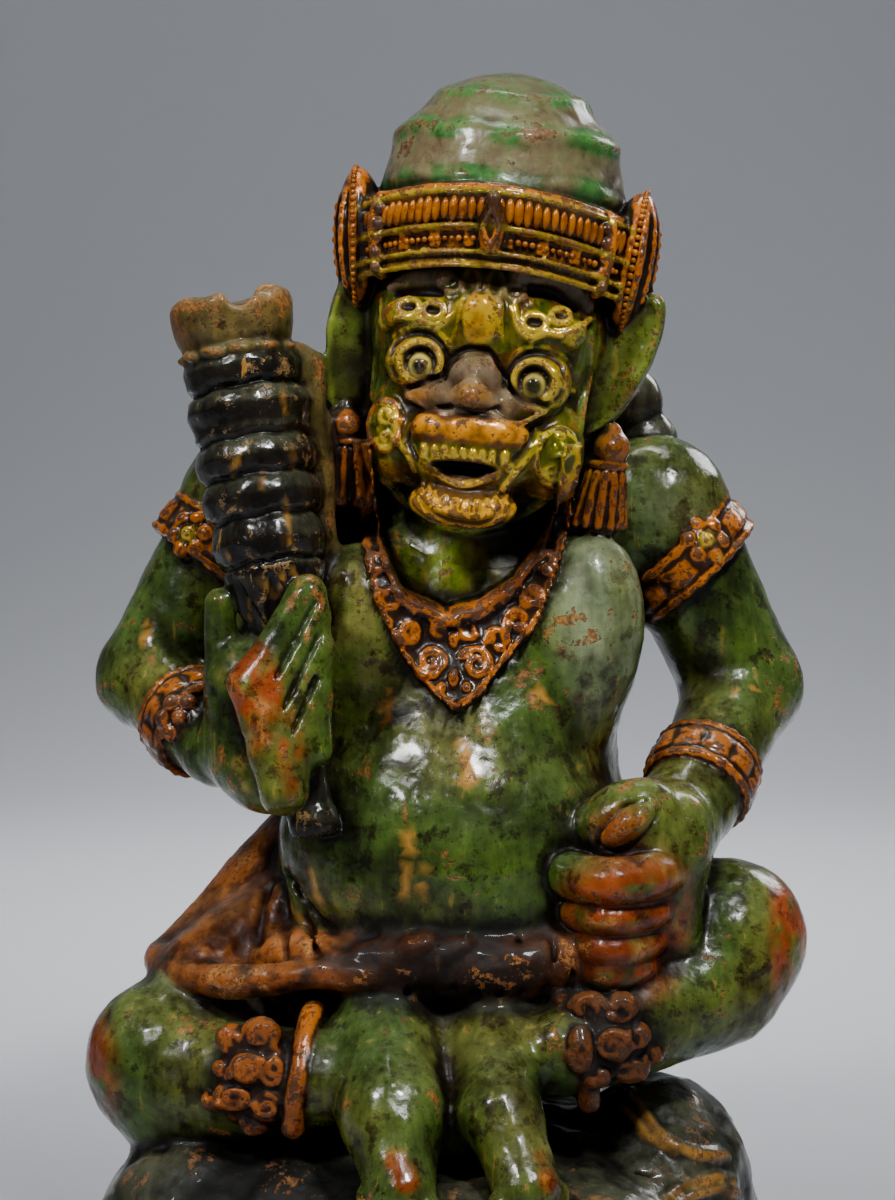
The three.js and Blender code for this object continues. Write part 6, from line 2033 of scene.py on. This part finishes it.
# %% Lay the rows
def head_matrix(x, y, z, turn=None):
    """From a plane at a place on the head to the frame, in metres."""
    turned = HEAD_TURN if turn is None else HEAD_TURN @ turn
    return Matrix.Translation((on_head(x, y, z) + TO_FRAME) / 1000) @ Matrix(turned.tolist()).to_4x4()


beads = bead_row_tree()
ring = (HEAD_HALF - 1) * SCALE + DIADEM_THICKNESS * 0.95
tall_dip = DIADEM_DIP * SCALE * (ring / (HEAD_HALF * SCALE)) ** 2
plans = {
    "diadem_beads": (head_matrix(0, 2, 54.2), 96, (ring, ring, tall_dip), (1.3, 1.42, 3.9), 0.16),
    "diadem_dots": (head_matrix(0, 2, 45), 120, (ring - 0.6, ring - 0.6, tall_dip), (0.9, 0.95, 0.95), 0.2),
}
for s, side in ((-1, "right"), (1, "left")):
    upright = turn_of(0, s * 0.1, 0) @ turn_of(0, math.pi / 2, 0)
    plans["flare_beads_" + side] = (head_matrix(s * 44.5, -4, 41, upright), 58, (23.2, 15.2, 0),
                                    (1.0, 1.0, 1.0), 0.2)
for seed, (name, (matrix, count, oval_size, bead, play)) in enumerate(plans.items()):
    obj = lay_row(name, beads, matrix, Beads=count, Oval=np.array(oval_size) / 1000,
                  Bead=np.array(bead) / 1000, Play=play, Seed=seed, Paint=painted_wood)
    points = points_of(obj.data) - TO_FRAME
    coat = Coat(points, np.eye(len(PAINTS))[[GILT]].repeat(len(points), 0))
    even = np.zeros(len(points))
    coat.wash(even + 1, (0.2, 0.055, 0.005), (0.66, 0.21, 0.008), relief=0.2, wear=0.2, grime=0.7)
    write_coat(obj.data, coat, even, even, even)
    carved[name] = obj
    print(name, count, "beads,", len(obj.data.polygons), "triangles")

# %% [markdown]
# ## Floor and light
#
# A plain pale floor that curves up behind, two soft lights from above in front, the stronger on the
# figure's left, and one from behind that draws the shoulders. A fourth, narrow one brightens the floor
# behind the figure, so that the ground pales towards the foot of the picture as in the photograph.

# %% Floor and light
def make_floor():
    width, front, back, height, bend = 3.0, -0.7, 1.0, 2.6, 0.5
    profile = [(front, 0.0), (back, 0.0)]
    profile += [(back + math.sin(a) * bend, bend - math.cos(a) * bend)
                for a in (math.radians(9 * n) for n in range(1, 11))]
    profile.append((back + bend, height))
    points = [(x, y, z) for y, z in profile for x in (-width, width)]
    faces = [(2 * n, 2 * n + 1, 2 * n + 3, 2 * n + 2) for n in range(len(profile) - 1)]
    mesh = bpy.data.meshes.new("floor")
    mesh.from_pydata(points, [], faces)
    mesh.shade_smooth()
    floor = link("floor", mesh)
    material = bpy.data.materials.new("pale_floor")
    material.use_nodes = True
    material.node_tree.nodes["Principled BSDF"].inputs["Base Color"].default_value = (0.33, 0.342, 0.368, 1)
    material.node_tree.nodes["Principled BSDF"].inputs["Roughness"].default_value = 0.8
    mesh.materials.append(material)


def soft_light(name, place, aim, width, watts, spread=180):
    lamp = bpy.data.lights.new(name, "AREA")
    lamp.spread = math.radians(spread)
    lamp.shape, lamp.size, lamp.energy = "DISK", width, watts
    light = bpy.data.objects.new(name, lamp)
    light.location = place
    light.rotation_euler = (Vector(aim) - Vector(place)).to_track_quat("-Z", "Y").to_euler()
    bpy.context.scene.collection.objects.link(light)


make_floor()
soft_light("key", (0.4, -0.85, 1.38), (0, 0, 0.28), 0.18, 21)
soft_light("fill", (-0.7, -0.75, 1.15), (0, 0, 0.28), 0.18, 11)
soft_light("rim", (0.8, 0.9, 0.9), (0, 0, 0.28), 0.5, 6)
soft_light("floor", (0, 0.62, 1.5), (0, 0.62, 0), 0.8, 4.6, 50)
world = bpy.data.worlds.new("studio")
world.use_nodes = True
world.node_tree.nodes["Background"].inputs["Color"].default_value = (0.55, 0.57, 0.6, 1)
world.node_tree.nodes["Background"].inputs["Strength"].default_value = 0.12
bpy.context.scene.world = world
print("lit")

# %% [markdown]
# ## Attaching the pieces
#
# Every piece rides on the one body and stands for the plain solid, which is hidden.

# %% Finish
for obj in carved.values():
    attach(obj, "root")
    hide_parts(NODE)
